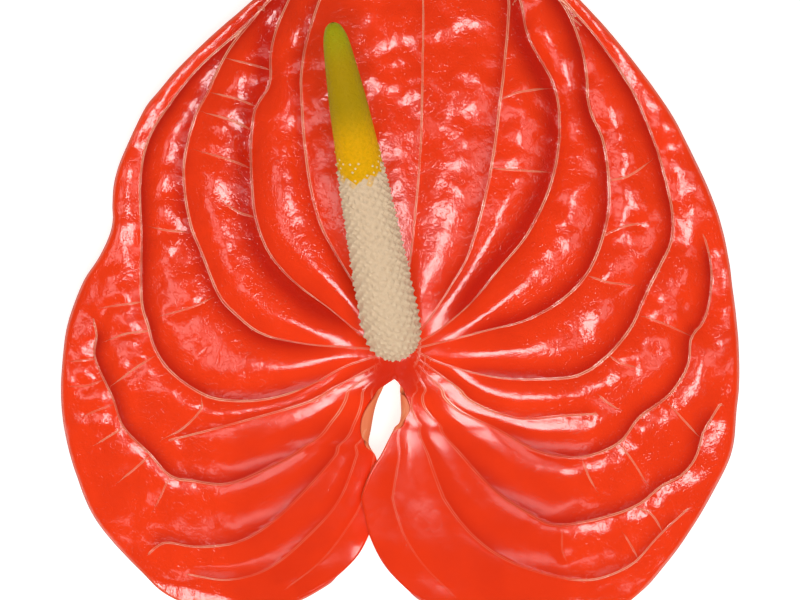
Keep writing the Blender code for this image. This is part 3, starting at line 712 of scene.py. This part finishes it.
@dataclass
class Spadix:
    """The leaning spike: a smooth core, closely covered by florets on a lattice of opposed spirals."""

    # The middle line's control points, how finely it is drawn and walked, and how far ahead it is looked at
    line: tuple = ((-0.5, 2.0, 0.65), (-1.1, 1.7, 14.0), (-5.0, 24.0, 22.5), (-12.5, 62.3, 36.0))
    line_points: int = 200
    line_walk: float = 0.25
    look: float = 0.4

    # The smooth core: its radius by its share along, and its grid
    radii: tuple = (
        (0.0, 2.1), (0.05, 2.5), (0.08, 4.1), (0.11, 5.0), (0.15, 5.3), (0.22, 5.3), (0.38, 4.9),
        (0.52, 4.45), (0.66, 4.05), (0.79, 3.5), (0.90, 2.8), (0.955, 2.3), (0.985, 1.6), (0.996, 0.9),
        (1.0, 0.35),
    )
    core_sides: int = 64
    core_rings: int = 170

    # The florets' lattice: rows stand row_step apart at full_radius and closer where the spike is thinner
    florets_round: int = 16
    row_step: float = 1.0
    full_radius: float = 5.2
    least_radius: float = 1.2
    first_row: float = 0.06
    row_marks: int = 1200
    twist: float = 1.9

    # Where the open florets end, how far that border dips on the upper side, and how soft it is
    open_share: float = 0.617
    open_dip: float = 0.028
    open_blur: float = 0.02

    # One floret: its octagon, how square that is, and the steps in and up that shape it, open and closed
    floret_radius: float = 0.74
    square: float = 0.10
    open_steps: tuple = ((0.10, 0.10), (0.22, 0.16), (0.14, 0.12), (0.08, 0.32), (0.08, 0.22))
    closed_steps: tuple = ((0.16, 0.55), (0.18, 0.30), (0.16, 0.12))

    # How far florets stand out, how deep their feet sit and how wide they are, open and closed
    floret_rise: float = 0.44
    closed_rise: float = 0.07
    sunk: float = 0.10
    closed_sunk: float = 0.03
    open_width: float = 1.62
    closed_width: float = 1.36
    small_rise: float = 0.15
    slim_radius: float = 0.5

    # How irregular the florets are: a draw's spread, and what it does to border, height and place
    seed: int = 7
    spread: float = 0.06
    border_stray: float = 0.15
    rise_stray: float = 2.0
    place_stray: float = 1.6

    # Pale stigmas that dot the closed florets just over the border
    dot_reach: float = 0.05
    dot_chance: float = 0.6
    dot_rise: float = 0.20
    dot_top: float = 0.7

    # What each vertex keeps for the skin to read, and how deep the painted pit shade is on the core
    marks: tuple = ("along", "cream", "stigma", "pit_shade")
    core_pit_shade: float = 0.8

    def __post_init__(self) -> None:
        """Draws the middle line as an even walk."""
        lift = np.array([0.0, 0.0, JOINT_Z - DIMPLE + BLADE / 2])
        a, b, c, d = (np.array(p) + lift for p in self.line)
        t = np.linspace(0, 1, self.line_points)[:, None]
        rest = 1 - t
        curve = a * rest**3 + 3 * b * t * rest**2 + 3 * c * t**2 * rest + d * t**3
        self.axis = even(curve, self.line_walk)
        self.run = length_along(self.axis)

    def surface(self, share: np.ndarray, angle: np.ndarray, out: np.ndarray) -> np.ndarray:
        """Finds points on or over the spadix.

        Args:
            share: how far along the middle line, from 0 to 1.
            angle: the way round it.
            out: height over the smooth surface.

        Returns:
            The points as rows.
        """
        spot = np.clip(share, 0, 1) * self.run[-1]
        across, up = square_to(self.axis, self.run, spot, self.look)
        outwards = spoke(across, up, angle + self.twist * share)
        return walk(self.axis, self.run, spot) + outwards * (self.radius(share) + out)[:, None]

    def radius(self, share: np.ndarray) -> np.ndarray:
        """Gives the smooth spadix's radius along the middle line."""
        fine = spline(list(self.radii), SPAN_STEPS)
        return np.interp(share, fine[:, 0], fine[:, 1])

    def creamy(self, share: np.ndarray, angle: np.ndarray) -> np.ndarray:
        """Gives 1 where the florets are open and cream, fading to 0 above the border."""
        border = self.open_share - self.open_dip * np.sin(angle + self.twist * share)
        return ease((border - share) / self.open_blur + 0.5)

    def creamy_at(self, share: float, angle: float) -> float:
        """Gives the same for a single place."""
        return float(self.creamy(np.array([share]), np.array([angle]))[0])

    def rows(self) -> list[float]:
        """Places the floret rows, closer together where the spadix is thinner."""
        shares = np.linspace(self.first_row, 1.0, self.row_marks)
        radius = self.radius(shares)
        step = np.hypot(np.diff(shares) * self.run[-1], np.diff(radius))
        wanted = self.row_step * np.maximum(radius[1:], self.least_radius) / self.full_radius
        count = np.concatenate([[0], np.cumsum(step / wanted)])
        return list(np.interp(np.arange(0, int(count[-1]) + 1), count, shares))

    def floret(self, opened: bool) -> tuple[bpy.types.Mesh, np.ndarray]:
        """Shapes one floret over its own small square.

        Args:
            opened: whether its stigma stands out.

        Returns:
            The floret's mesh, and its vertices as rows: two places across and a height from 0 to 1.
        """
        work = bmesh.new()
        bmesh.ops.create_circle(work, cap_ends=True, segments=8, radius=self.floret_radius)
        face = list(work.faces)[0]
        for inwards, up in self.open_steps if opened else self.closed_steps:
            bmesh.ops.inset_region(
                work, faces=[face], thickness=inwards, use_boundary=True, use_even_offset=True)
            for vertex in face.verts:
                vertex.co.z += up
        for vertex in work.verts:
            corner = 1 + self.square * math.cos(4 * math.atan2(vertex.co.y, vertex.co.x))
            vertex.co.x *= corner
            vertex.co.y *= corner
        points = np.array([v.co[:] for v in work.verts])
        points[:, 2] = points[:, 2] / points[:, 2].max()
        template = bpy.data.meshes.new("floret")
        work.to_mesh(template)
        work.free()
        return template, points

    def core(self) -> bmesh.types.BMesh:
        """Builds the smooth core, closed at both ends, with the marks that the skin reads."""
        work, shares = wrapped_grid(self.core_sides, self.core_rings)
        layers = {name: work.verts.layers.float.new(name) for name in self.marks}
        along, angle = shares[:, 1], -2 * math.pi * shares[:, 0]
        cream = self.creamy(along, angle)
        points = place(self.surface(along, angle, -self.sunk * cream))
        for vertex, point, share, ripe in zip(work.verts, points, along, cream):
            vertex.co = point
            for name, value in (("along", share), ("cream", ripe), ("pit_shade", self.core_pit_shade * ripe)):
                vertex[layers[name]] = value
        bmesh.ops.remove_doubles(work, verts=work.verts, dist=TOUCHING)
        for end in (0.0, 1.0):
            ring = [v for v in work.verts if v.is_boundary and abs(v[layers["along"]] - end) < SAME_SHARE]
            middle = sum((v.co for v in ring), Vector()) / len(ring)
            bmesh.ops.pointmerge(work, verts=ring, merge_co=middle)

        # Merging leaves gaps among the vertices; a pass through a mesh closes them, so new ones come last
        core = bpy.data.meshes.new("core")
        work.to_mesh(core)
        work.free()
        work = bmesh.new()
        work.from_mesh(core)
        bpy.data.meshes.remove(core)
        return work

    def cover(self, work: bmesh.types.BMesh) -> None:
        """Sets the florets on the core, row by row."""
        layers = {name: work.verts.layers.float[name] for name in self.marks}
        templates = {opened: self.floret(opened) for opened in (True, False)}
        draw = np.random.default_rng(self.seed)
        for row, share in enumerate(self.rows()):
            radius = float(self.radius(share))
            size = radius / self.full_radius
            for k in range(self.florets_round):
                stray, chance = draw.normal(0, self.spread, 3), draw.random()
                angle = 2 * math.pi * (k + 0.5 * (row % 2)) / self.florets_round
                ripe = self.creamy_at(share + self.border_stray * stray[0], angle)
                opened = ripe > 0.5
                dot_chance = self.creamy_at(share - self.dot_reach, angle) * self.dot_chance
                dotted = not opened and chance < dot_chance
                template, local = templates[opened or dotted]
                start = len(work.verts)
                work.from_mesh(template)
                work.verts.ensure_lookup_table()
                base = -(self.sunk if opened else self.closed_sunk)
                top = self.floret_rise * (1.0 if opened else self.closed_rise)
                top = top * min(1.0, size + self.small_rise) * (1 + self.rise_stray * stray[1])
                top += self.dot_rise * dotted
                grow = (self.open_width if opened else self.closed_width) * size
                shares = share + (local[:, 1] + stray[0] * self.place_stray) * grow / self.run[-1]
                angles = (local[:, 0] + stray[2] * self.place_stray) * grow / max(radius, self.slim_radius)
                spots = place(self.surface(shares, angle + angles, base + local[:, 2] * (top - base)))
                for vertex, spot, height in zip(work.verts[start:], spots, local[:, 2]):
                    vertex.co = spot
                    stigma = float(dotted) * float(height > self.dot_top)
                    # The last mark is painted shade, deeper towards each floret's foot
                    for name, value in zip(self.marks, (share, ripe, stigma, (1.0 - float(height)) * ripe)):
                        vertex[layers[name]] = value
        for template, _ in templates.values():
            bpy.data.meshes.remove(template)

    def build(self, material: bpy.types.Material) -> bpy.types.Object:
        """Builds the core and its florets as one piece.

        Args:
            material: the spadix's finish.

        Returns:
            The spadix's object.
        """
        work = self.core()
        self.cover(work)
        piece = add_piece("spadix_spike", work, [material])
        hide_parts("spadix_cream", "spadix_green")
        return piece


@dataclass
class Stem:
    """The long round stem, bent over below the blade and lying along the floor to its cut end."""

    route: tuple = (
        (-0.1, 2.0, 16.2), (1.2, 0.2, 11.6), (4.6, -6.0, 7.2), (7.8, -16.0, 4.1), (9.8, -30.0, 2.85),
        (11.6, -55.0, 2.75), (14.0, -110.0, 2.75), (13.6, -190.0, 2.8), (9.0, -290.0, 2.85),
        (4.5, -370.0, 2.9), (2.0, -450.5, 2.9),
    )
    route_steps: int = 12
    route_walk: float = 0.5
    look: float = 0.8
    top_radius: float = 2.6
    foot_radius: float = 2.9

    # Its grid, and how that crowds towards the joint
    sides: int = 40
    rings: int = 420
    ring_power: float = 1.25

    # The cut: how far in from the skin the pith starts, and how deep it lies
    cut_inset: float = 0.45
    cut_depth: float = 0.08
    sharp_angle: float = 40.0

    def build(self, skin: bpy.types.Material, pith: bpy.types.Material) -> bpy.types.Object:
        """Builds the stem with its cut end.

        Args:
            skin: the finish of its side.
            pith: the finish of its cut ends.

        Returns:
            The stem's object.
        """
        line = even(spline(list(self.route), self.route_steps), self.route_walk)
        run = length_along(line)
        work, shares = wrapped_grid(self.sides, self.rings)
        marks = run[-1] * shares[:, 1] ** self.ring_power
        radius = self.top_radius + (self.foot_radius - self.top_radius) * marks / run[-1]
        centre = walk(line, run, marks)
        centre[:, 2] = np.maximum(centre[:, 2], radius)
        across, up = square_to(line, run, marks, self.look)
        outwards = spoke(across, up, -2 * math.pi * shares[:, 0])
        for vertex, point in zip(work.verts, place(centre + outwards * radius[:, None])):
            vertex.co = point
        bmesh.ops.remove_doubles(work, verts=work.verts, dist=TOUCHING)
        caps = bmesh.ops.holes_fill(work, edges=[e for e in work.edges if e.is_boundary], sides=0)["faces"]
        for cap in caps:
            cap.material_index = 1
            bmesh.ops.inset_region(
                work, faces=[cap], thickness=self.cut_inset * MM, depth=-self.cut_depth * MM,
                use_boundary=True, use_even_offset=True)
        bmesh.ops.recalc_face_normals(work, faces=work.faces)
        piece = add_piece("stem_stalk", work, [skin, pith])
        piece.data.set_sharp_from_angle(angle=math.radians(self.sharp_angle))
        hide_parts("stem")
        return piece


class Effects:
    """Shader node groups that more than one finish uses."""

    # How much the fine noise adds, and the coarse noise's contour lines: their distance and half width
    fine_share, crease_step, crease_width = 0.45, 0.11, 0.032

    def __init__(self) -> None:
        """Builds each group once."""
        self.grain = self.make_grain()

    def make_grain(self) -> bpy.types.NodeTree:
        """Makes fine living grain from two sizes of noise: a height, a mask and the creases of its cells."""
        tree = bpy.data.node_groups.new("living_grain", "ShaderNodeTree")
        for name, in_out in (("Coarse", "INPUT"), ("Fine", "INPUT"), ("Height", "OUTPUT"), ("Mask", "OUTPUT"),
                             ("Crease", "OUTPUT")):
            tree.interface.new_socket(name, in_out=in_out, socket_type="NodeSocketFloat")
        kinds = ("NodeGroupInput", "NodeGroupOutput", "ShaderNodeTexCoord", "ShaderNodeTexNoise",
                 "ShaderNodeTexNoise", "ShaderNodeMath", "ShaderNodeMath", "ShaderNodeMapRange")
        way_in, way_out, spot, coarse, fine, mix, levels, crease = (tree.nodes.new(kind) for kind in kinds)
        mix.operation, levels.operation = "MULTIPLY_ADD", "PINGPONG"
        crease.interpolation_type = "SMOOTHSTEP"
        for socket, value in (
            (coarse.inputs["Detail"], 3.0), (fine.inputs["Detail"], 2.0),
            (mix.inputs[1], self.fine_share), (levels.inputs[1], self.crease_step),
            (crease.inputs["From Max"], self.crease_width),
        ):
            socket.default_value = value
        for source, target in (
            (spot.outputs["Object"], coarse.inputs["Vector"]),
            (spot.outputs["Object"], fine.inputs["Vector"]),
            (way_in.outputs["Coarse"], coarse.inputs["Scale"]),
            (way_in.outputs["Fine"], fine.inputs["Scale"]),
            (fine.outputs["Fac"], mix.inputs[0]), (coarse.outputs["Fac"], mix.inputs[2]),
            (mix.outputs[0], way_out.inputs["Height"]), (coarse.outputs["Fac"], way_out.inputs["Mask"]),
            (coarse.outputs["Fac"], levels.inputs[0]), (levels.outputs[0], crease.inputs["Value"]),
            (crease.outputs["Result"], way_out.inputs["Crease"]),
        ):
            tree.links.new(source, target)
        return tree


class Bench:
    """A material being wired: short calls for the nodes that the finishes share."""

    # Twin cords: the gap between them, how far from a vein they reach, by the distance out, and their start
    cord_gap, cord_reach, cord_start = (0.12, 0.65, 0.12, 1.0), (0.006, 0.36), (3.0, 9.0)

    def __init__(self, name: str, effects: Effects) -> None:
        """Starts a material with its shader."""
        self.material = bpy.data.materials.new(name)
        self.material.use_nodes = True
        self.tree = self.material.node_tree
        self.shader = self.tree.nodes["Principled BSDF"]
        self.effects = effects

    def node(self, kind: str, **settings: object) -> bpy.types.Node:
        """Adds a node and sets its own fields."""
        made = self.tree.nodes.new(kind)
        for key, value in settings.items():
            setattr(made, key, value)
        return made

    def link(self, source: bpy.types.NodeSocket, target: bpy.types.NodeSocket) -> None:
        """Joins two sockets."""
        self.tree.links.new(source, target)

    def read(self, name: str) -> bpy.types.NodeSocket:
        """Reads a number that the mesh stores for each vertex."""
        return self.node("ShaderNodeAttribute", attribute_name=name).outputs["Fac"]

    def fit(self, source: bpy.types.NodeSocket, low: float, high: float,
            to_low: float = 0.0, to_high: float = 1.0) -> bpy.types.NodeSocket:
        """Maps a value smoothly from one range to another, held at its ends."""
        made = self.node("ShaderNodeMapRange", interpolation_type="SMOOTHSTEP")
        self.link(source, made.inputs["Value"])
        for socket, value in zip(("From Min", "From Max", "To Min", "To Max"), (low, high, to_low, to_high)):
            made.inputs[socket].default_value = value
        return made.outputs["Result"]

    def math(self, operation: str, *values: object) -> bpy.types.NodeSocket:
        """Works out one sum from sockets or numbers."""
        made = self.node("ShaderNodeMath", operation=operation)
        for slot_in, value in zip(made.inputs, values):
            if isinstance(value, (int, float)):
                slot_in.default_value = value
            else:
                self.link(value, slot_in)
        return made.outputs[0]

    def mix(self, amount: object, first: object, second: object) -> bpy.types.NodeSocket:
        """Mixes two colours, each a socket or a plain colour, by an amount."""
        made = self.node("ShaderNodeMix", data_type="RGBA")
        for socket, value in ((made.inputs[0], amount), (made.inputs[6], first), (made.inputs[7], second)):
            if isinstance(value, tuple):
                socket.default_value = (*value, 1.0)
            elif isinstance(value, (int, float)):
                socket.default_value = value
            else:
                self.link(value, socket)
        return made.outputs[2]

    def grain(self, coarse: float, fine: float) -> bpy.types.Node:
        """Places the living grain with its own sizes."""
        made = self.node("ShaderNodeGroup")
        made.node_tree = self.effects.grain
        made.inputs["Coarse"].default_value = coarse
        made.inputs["Fine"].default_value = fine
        return made

    def bump(self, height: bpy.types.NodeSocket, distance: float) -> None:
        """Lets a height, in units of the distance in metres, tilt the surface."""
        made = self.node("ShaderNodeBump")
        made.inputs["Distance"].default_value = distance
        made.inputs["Strength"].default_value = 1.0
        self.link(height, made.inputs["Height"])
        self.link(made.outputs["Normal"], self.shader.inputs["Normal"])

    def cover(self, colour: bpy.types.NodeSocket, rough: bpy.types.NodeSocket) -> None:
        """Gives the shader its colour and its roughness."""
        self.link(colour, self.shader.inputs["Base Color"])
        self.link(rough, self.shader.inputs["Roughness"])

    def thread(self, kind: str, spread: float) -> bpy.types.NodeSocket:
        """Marks the twin cords of one kind of vein: 1 along them, less between them, 0 beside them.

        Args:
            kind: "main" or "cross".
            spread: how far the mark fades, as a share of the vein's half width.

        Returns:
            The mark's socket.
        """
        aside = self.math("ABSOLUTE", self.read(f"{kind}_side"))
        beside = self.math("DIVIDE", aside, self.read(f"{kind}_width"))
        line = self.fit(beside, 1.0 - spread, 1.0 + spread, 1.0, 0.0)
        line = self.math("MULTIPLY", line, self.fit(beside, *self.cord_gap))
        reach = self.read("reach")
        limit = self.math("MULTIPLY_ADD", reach, *self.cord_reach)
        close = self.math("LESS_THAN", self.read(f"{kind}_gap"), limit)
        return self.math("MULTIPLY", self.math("MULTIPLY", line, close), self.fit(reach, *self.cord_start))

    def settle(self, **values: object) -> None:
        """Sets plain values on the shader's own sockets."""
        for name, value in values.items():
            self.shader.inputs[name.replace("_", " ")].default_value = value


@dataclass(frozen=True)
class RedFace:
    """The glossy orange-red face of the blade: fine crinkles, pale threads on its veins, painted light and
    shade.
    """

    red: tuple = (0.99, 0.048, 0.0065)
    # A darker red: the red's own mottled tone, and the painted shade of the vein slopes, the joint and the
    # lobes
    deep: tuple = (0.54, 0.011, 0.003)
    # The veins' paler colour, which also paints highlights along the veins and the rim
    pale: tuple = (1.0, 0.46, 0.28)
    rough: tuple = (0.3, 0.7, 0.11, 0.17)
    lobe_rough: float = 0.02

    # Sizes of the fine grain and of the mottling
    grain: tuple = (520.0, 2800.0)
    mottle: tuple = (130.0, 600.0)

    # Where the deep red shows, as the range of what is read and what it becomes
    # Painted shade on the veins' inner slopes
    painted_vein_shade: tuple = (0.1, 1.5, 0.0, 0.92)
    mottle_deep: tuple = (0.35, 0.7, 0.0, 0.15)
    # Painted shadow round the joint, under the spadix's foot
    painted_joint_shadow: tuple = (2.0, 10.0, 0.6, 0.0)
    # Painted shade on the steep inner parts of the lobes
    painted_lobe_shade: tuple = (0.0, 1.0, 0.0, 0.2)

    # How soft the pale threads are, how patchy, and how the smooth lobes calm them and the cells
    # The threads' pale is the veins' own colour, and partly a painted highlight along their twin cords
    soft_main: float = 0.45
    soft_cross: float = 0.8
    patches: tuple = (0.35, 0.6, 0.4, 0.9)
    lobe_calm: tuple = (0.0, 0.8, 1.0, 0.25)
    # Painted highlight: a thin pale line just inside the rim, by the distance to it
    painted_rim_glint: tuple = (0.15, 0.75, 0.2, 0.0)

    # Heights in millimetres: cells, creases between them, fine crinkles, cords, and where cells are low
    cell: float = 0.11
    crease: float = 0.016
    crinkle: float = 0.023
    cord: float = 0.05
    cells_grow: tuple = (12.0, 34.0, 0.25, 1.0)

    # Streaks that run out from the joint: their height by the distance, their start, and their stretch
    streak: tuple = (8.0, 45.0, 0.018, 0.0045)
    streak_start: tuple = (5.0, 16.0)
    streak_stretch: float = 0.22

    def make(self, effects: Effects) -> bpy.types.Material:
        """Wires the finish.

        Args:
            effects: the shared node groups.

        Returns:
            The material.
        """
        b = Bench("red_face", effects)
        b.settle(IOR=1.45)
        grain, mottle = b.grain(*self.grain), b.grain(*self.mottle)
        reach, lobe = b.read("reach"), b.read("inner_lobe")
        base = self.red
        for source, deepened in (
            (b.read("painted_valley_shade"), self.painted_vein_shade), (mottle.outputs["Mask"], self.mottle_deep),
            (reach, self.painted_joint_shadow), (lobe, self.painted_lobe_shade),
        ):
            base = b.mix(b.fit(source, *deepened), base, self.deep)
        thread = b.math("MAXIMUM", b.thread("main", self.soft_main), b.thread("cross", self.soft_cross))
        calm = b.fit(lobe, *self.lobe_calm)
        thread = b.math("MULTIPLY", thread, calm)
        patchy = b.fit(mottle.outputs["Mask"], *self.patches)
        # Pale threads: the veins' paler colour, and partly a painted highlight along their twin cords
        base = b.mix(b.math("MULTIPLY", thread, patchy), base, self.pale)
        # Painted highlight along the rim
        base = b.mix(b.fit(b.read("to_rim"), *self.painted_rim_glint), base, self.pale)
        rough = b.math("MULTIPLY_ADD", lobe, self.lobe_rough, b.fit(grain.outputs["Mask"], *self.rough))
        b.cover(base, rough)

        lanes = b.node("ShaderNodeCombineXYZ")
        b.link(b.read("ray"), lanes.inputs["X"])
        b.link(b.math("MULTIPLY", reach, self.streak_stretch), lanes.inputs["Y"])
        streaks = b.node("ShaderNodeTexNoise")
        streaks.inputs["Scale"].default_value = 1.0
        b.link(lanes.outputs["Vector"], streaks.inputs["Vector"])
        near_joint = b.math("MULTIPLY", b.fit(reach, *self.streak), b.fit(reach, *self.streak_start))
        height = b.math("MULTIPLY", streaks.outputs["Fac"], near_joint)
        height = b.math("MULTIPLY_ADD", thread, self.cord, height)
        cells = b.math("MULTIPLY", grain.outputs["Mask"], self.cell)
        cells = b.math("MULTIPLY_ADD", grain.outputs["Crease"], self.crease, cells)
        grown = b.math("MULTIPLY", b.fit(reach, *self.cells_grow), calm)
        height = b.math("MULTIPLY_ADD", cells, grown, height)
        fine = b.math("MULTIPLY", grain.outputs["Height"], calm)
        b.bump(b.math("MULTIPLY_ADD", fine, self.crinkle, height), MM)
        return b.material


@dataclass(frozen=True)
class PaleBack:
    """The duller, paler orange underside of the blade."""

    pale: tuple = (0.86, 0.20, 0.075)
    vein: tuple = (0.90, 0.36, 0.18)
    grain: tuple = (700.0, 2600.0)
    rough: tuple = (0.3, 0.7, 0.42, 0.58)
    relief: float = 0.00010

    def make(self, name: str, effects: Effects) -> bpy.types.Material:
        """Wires the finish under the given name."""
        b = Bench(name, effects)
        b.settle(IOR=1.45)
        grain = b.grain(*self.grain)
        base = b.mix(b.thread("main", 1.0), self.pale, self.vein)
        b.cover(base, b.fit(grain.outputs["Mask"], *self.rough))
        b.bump(grain.outputs["Height"], self.relief)
        return b.material


@dataclass(frozen=True)
class FloretSkin:
    """The spadix's skin: cream where the florets are open, then yellow, then olive green at the tip."""

    cream: tuple = (0.78, 0.59, 0.40)
    cream_dark_and_pit_shade: tuple = (0.66, 0.46, 0.28)
    yellow: tuple = (0.82, 0.40, 0.002)
    olive: tuple = (0.42, 0.26, 0.003)
    green: tuple = (0.36, 0.34, 0.006)
    white: tuple = (0.85, 0.72, 0.42)
    grain: tuple = (1500.0, 5000.0)
    rough: tuple = (0.3, 0.7, 0.42, 0.6)
    relief: float = 0.00022
    stigma: float = 0.8

    # How far the painted pit shade and grain darken, and where along the spike its colours pass into each
    # other
    painted_pit_shade: tuple = (0.1, 1.0, 0.0, 0.32)
    open_mottle: tuple = (0.35, 0.7, 0.0, 0.35)
    ripe_mottle: tuple = (0.4, 0.7, 0.0, 0.25)
    to_olive: tuple = (0.665, 0.80)
    to_green: tuple = (0.88, 1.0)

    def make(self, effects: Effects) -> bpy.types.Material:
        """Wires the finish."""
        b = Bench("floret_skin", effects)
        b.settle(IOR=1.42, Specular_IOR_Level=0.06)
        grain = b.grain(*self.grain)
        along, mask = b.read("along"), grain.outputs["Mask"]
        # Painted shade: the cream darkens in the pits between the florets
        open_part = b.mix(b.fit(b.read("pit_shade"), *self.painted_pit_shade), self.cream, self.cream_dark_and_pit_shade)
        open_part = b.mix(b.fit(mask, *self.open_mottle), open_part, self.cream_dark_and_pit_shade)
        ripe = b.mix(b.fit(along, *self.to_olive), self.yellow, self.olive)
        ripe = b.mix(b.fit(along, *self.to_green), ripe, self.green)
        ripe = b.mix(b.fit(mask, *self.ripe_mottle), ripe, self.olive)
        ripe = b.mix(b.math("MULTIPLY", b.read("stigma"), self.stigma), ripe, self.white)
        b.cover(b.mix(b.read("cream"), ripe, open_part), b.fit(mask, *self.rough))
        b.bump(grain.outputs["Height"], self.relief)
        return b.material


@dataclass(frozen=True)
class StalkSkin:
    """The satin green skin of the stem, and the pale pith of its cut."""

    green: tuple = (0.13, 0.27, 0.045)
    light: tuple = (0.24, 0.38, 0.09)
    pith: tuple = (0.62, 0.68, 0.38)
    grain: tuple = (400.0, 2500.0)
    pith_grain: tuple = (1800.0, 6000.0)
    mottle: tuple = (0.35, 0.7)
    pith_mottle: tuple = (0.35, 0.65)
    rough: tuple = (0.3, 0.7, 0.34, 0.48)
    relief: float = 0.00006
    pith_relief: float = 0.00008

    def make(self, effects: Effects) -> bpy.types.Material:
        """Wires the side's finish."""
        b = Bench("stalk_skin", effects)
        b.settle(IOR=1.45)
        grain = b.grain(*self.grain)
        mask = grain.outputs["Mask"]
        b.cover(b.mix(b.fit(mask, *self.mottle), self.green, self.light), b.fit(mask, *self.rough))
        b.bump(grain.outputs["Height"], self.relief)
        return b.material

    def make_pith(self, effects: Effects) -> bpy.types.Material:
        """Wires the cut's finish."""
        b = Bench("stalk_pith", effects)
        grain = b.grain(*self.pith_grain)
        base = b.mix(b.fit(grain.outputs["Mask"], *self.pith_mottle), self.pith, self.light)
        b.link(base, b.shader.inputs["Base Color"])
        b.settle(Roughness=0.5)
        b.bump(grain.outputs["Height"], self.pith_relief)
        return b.material


@dataclass
class Studio:
    """The pale floor, the soft lights and the camera that looks straight down."""

    # The photograph: millimetres to a pixel, its width, and the rows of the joint and of its middle
    pixel: float = 0.19118
    photo_width: int = 800
    joint_row: int = 358
    middle_row: int = 300

    # The camera's distance over the joint in metres, and its sensor's width
    distance: float = 1.0
    sensor: float = 36.0

    # The floor's half width and its depth under the flower, in metres, and its finish
    floor_size: float = 6.0
    floor_drop: float = 0.0002
    floor_finish: tuple = (
        ("Base Color", (0.6, 0.6, 0.6, 1)), ("Emission Color", (1, 1, 1, 1)), ("Roughness", 0.9),
        ("Emission Strength", 0.72), ("Specular IOR Level", 0.1),
    )

    # Each light's name, place and size in metres, power in watts, and whether glossy surfaces mirror it
    lights: tuple = (
        ("key", (0.07, 0.045, 1.15), (0.44, 0.34), 8.3, True),
        ("left", (-0.58, 0.16, 1.05), (0.30, 0.5), 1.75, True),
        ("right", (0.68, 0.20, 1.05), (0.28, 0.5), 1.3, True),
        ("front", (0.0, -1.2, 0.62), (1.1, 0.2), 2.2, True),
        ("fill", (0.0, 0.15, 1.5), (1.6, 1.6), 0.7, False),
    )
    aim: tuple = (0.0, (JOINT_Y + 11.0) * MM, 0.02)
    sky_strength: float = 0.10

    def floor(self) -> None:
        """Lays the floor under the flower."""
        work = bmesh.new()
        bmesh.ops.create_grid(work, x_segments=1, y_segments=1, size=self.floor_size)
        mesh = bpy.data.meshes.new("floor")
        work.to_mesh(mesh)
        work.free()
        for vertex in mesh.vertices:
            vertex.co.z = -self.floor_drop
        ground = bpy.data.objects.new("floor", mesh)
        bpy.context.scene.collection.objects.link(ground)
        material = bpy.data.materials.new("floor_white")
        material.use_nodes = True
        shader = material.node_tree.nodes["Principled BSDF"]
        for socket, value in self.floor_finish:
            shader.inputs[socket].default_value = value
        mesh.materials.append(material)

    def light(self, name: str, at: tuple, size: tuple, power: float, in_gloss: bool) -> None:
        """Hangs a soft rectangular light that faces the middle of what the photograph shows.

        Args:
            name: the light's name.
            at: its place in metres.
            size: its width and height in metres.
            power: its power in watts.
            in_gloss: whether glossy surfaces mirror it.
        """
        data = bpy.data.lights.new(name, "AREA")
        data.shape = "RECTANGLE"
        data.size, data.size_y = size
        data.energy = power
        lamp = bpy.data.objects.new(name, data)
        lamp.location = at
        lamp.rotation_euler = (Vector(self.aim) - Vector(at)).to_track_quat("-Z", "Y").to_euler()
        lamp.visible_camera = False
        lamp.visible_glossy = in_gloss
        bpy.context.scene.collection.objects.link(lamp)

    def camera(self) -> None:
        """Sets the camera over the flower, framed as the photograph is."""
        data = bpy.data.cameras.new("camera")
        data.sensor_width = self.sensor
        data.lens = self.sensor * self.distance / (self.photo_width * self.pixel * MM)
        data.clip_start, data.clip_end = 0.01, 50.0
        camera = bpy.data.objects.new("camera", data)
        ahead = (self.joint_row - self.middle_row) * self.pixel
        camera.location = (0.0, (JOINT_Y + ahead) * MM, self.distance + JOINT_Z * MM)
        bpy.context.scene.collection.objects.link(camera)
        bpy.context.scene.camera = camera

    def sky(self) -> None:
        """Fills the surroundings with an even pale light."""
        world = bpy.data.worlds.new("studio")
        world.use_nodes = True
        background = world.node_tree.nodes["Background"]
        background.inputs["Color"].default_value = (1.0, 1.0, 1.0, 1.0)
        background.inputs["Strength"].default_value = self.sky_strength
        bpy.context.scene.world = world

    def build(self) -> None:
        """Sets the whole studio up."""
        self.floor()
        self.camera()
        self.sky()
        for light in self.lights:
            self.light(*light)
        bpy.context.scene.view_settings.view_transform = "Standard"


def main() -> None:
    """Builds the flower and its studio."""
    logging.basicConfig(level=logging.INFO, format="%(name)s: %(message)s")
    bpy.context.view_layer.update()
    effects = Effects()
    backs = [PaleBack().make(name, effects) for name in ("pale_back", "pale_rim")]
    blade = Spathe().build([RedFace().make(effects), *backs])
    log.info("spathe: %d faces before its wall", len(blade.data.polygons))
    spike = Spadix().build(FloretSkin().make(effects))
    log.info("spadix: %d faces", len(spike.data.polygons))
    skin = StalkSkin()
    stalk = Stem().build(skin.make(effects), skin.make_pith(effects))
    log.info("stem: %d faces", len(stalk.data.polygons))
    Studio().build()
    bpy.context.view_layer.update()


if __name__ == "__main__":
    main()
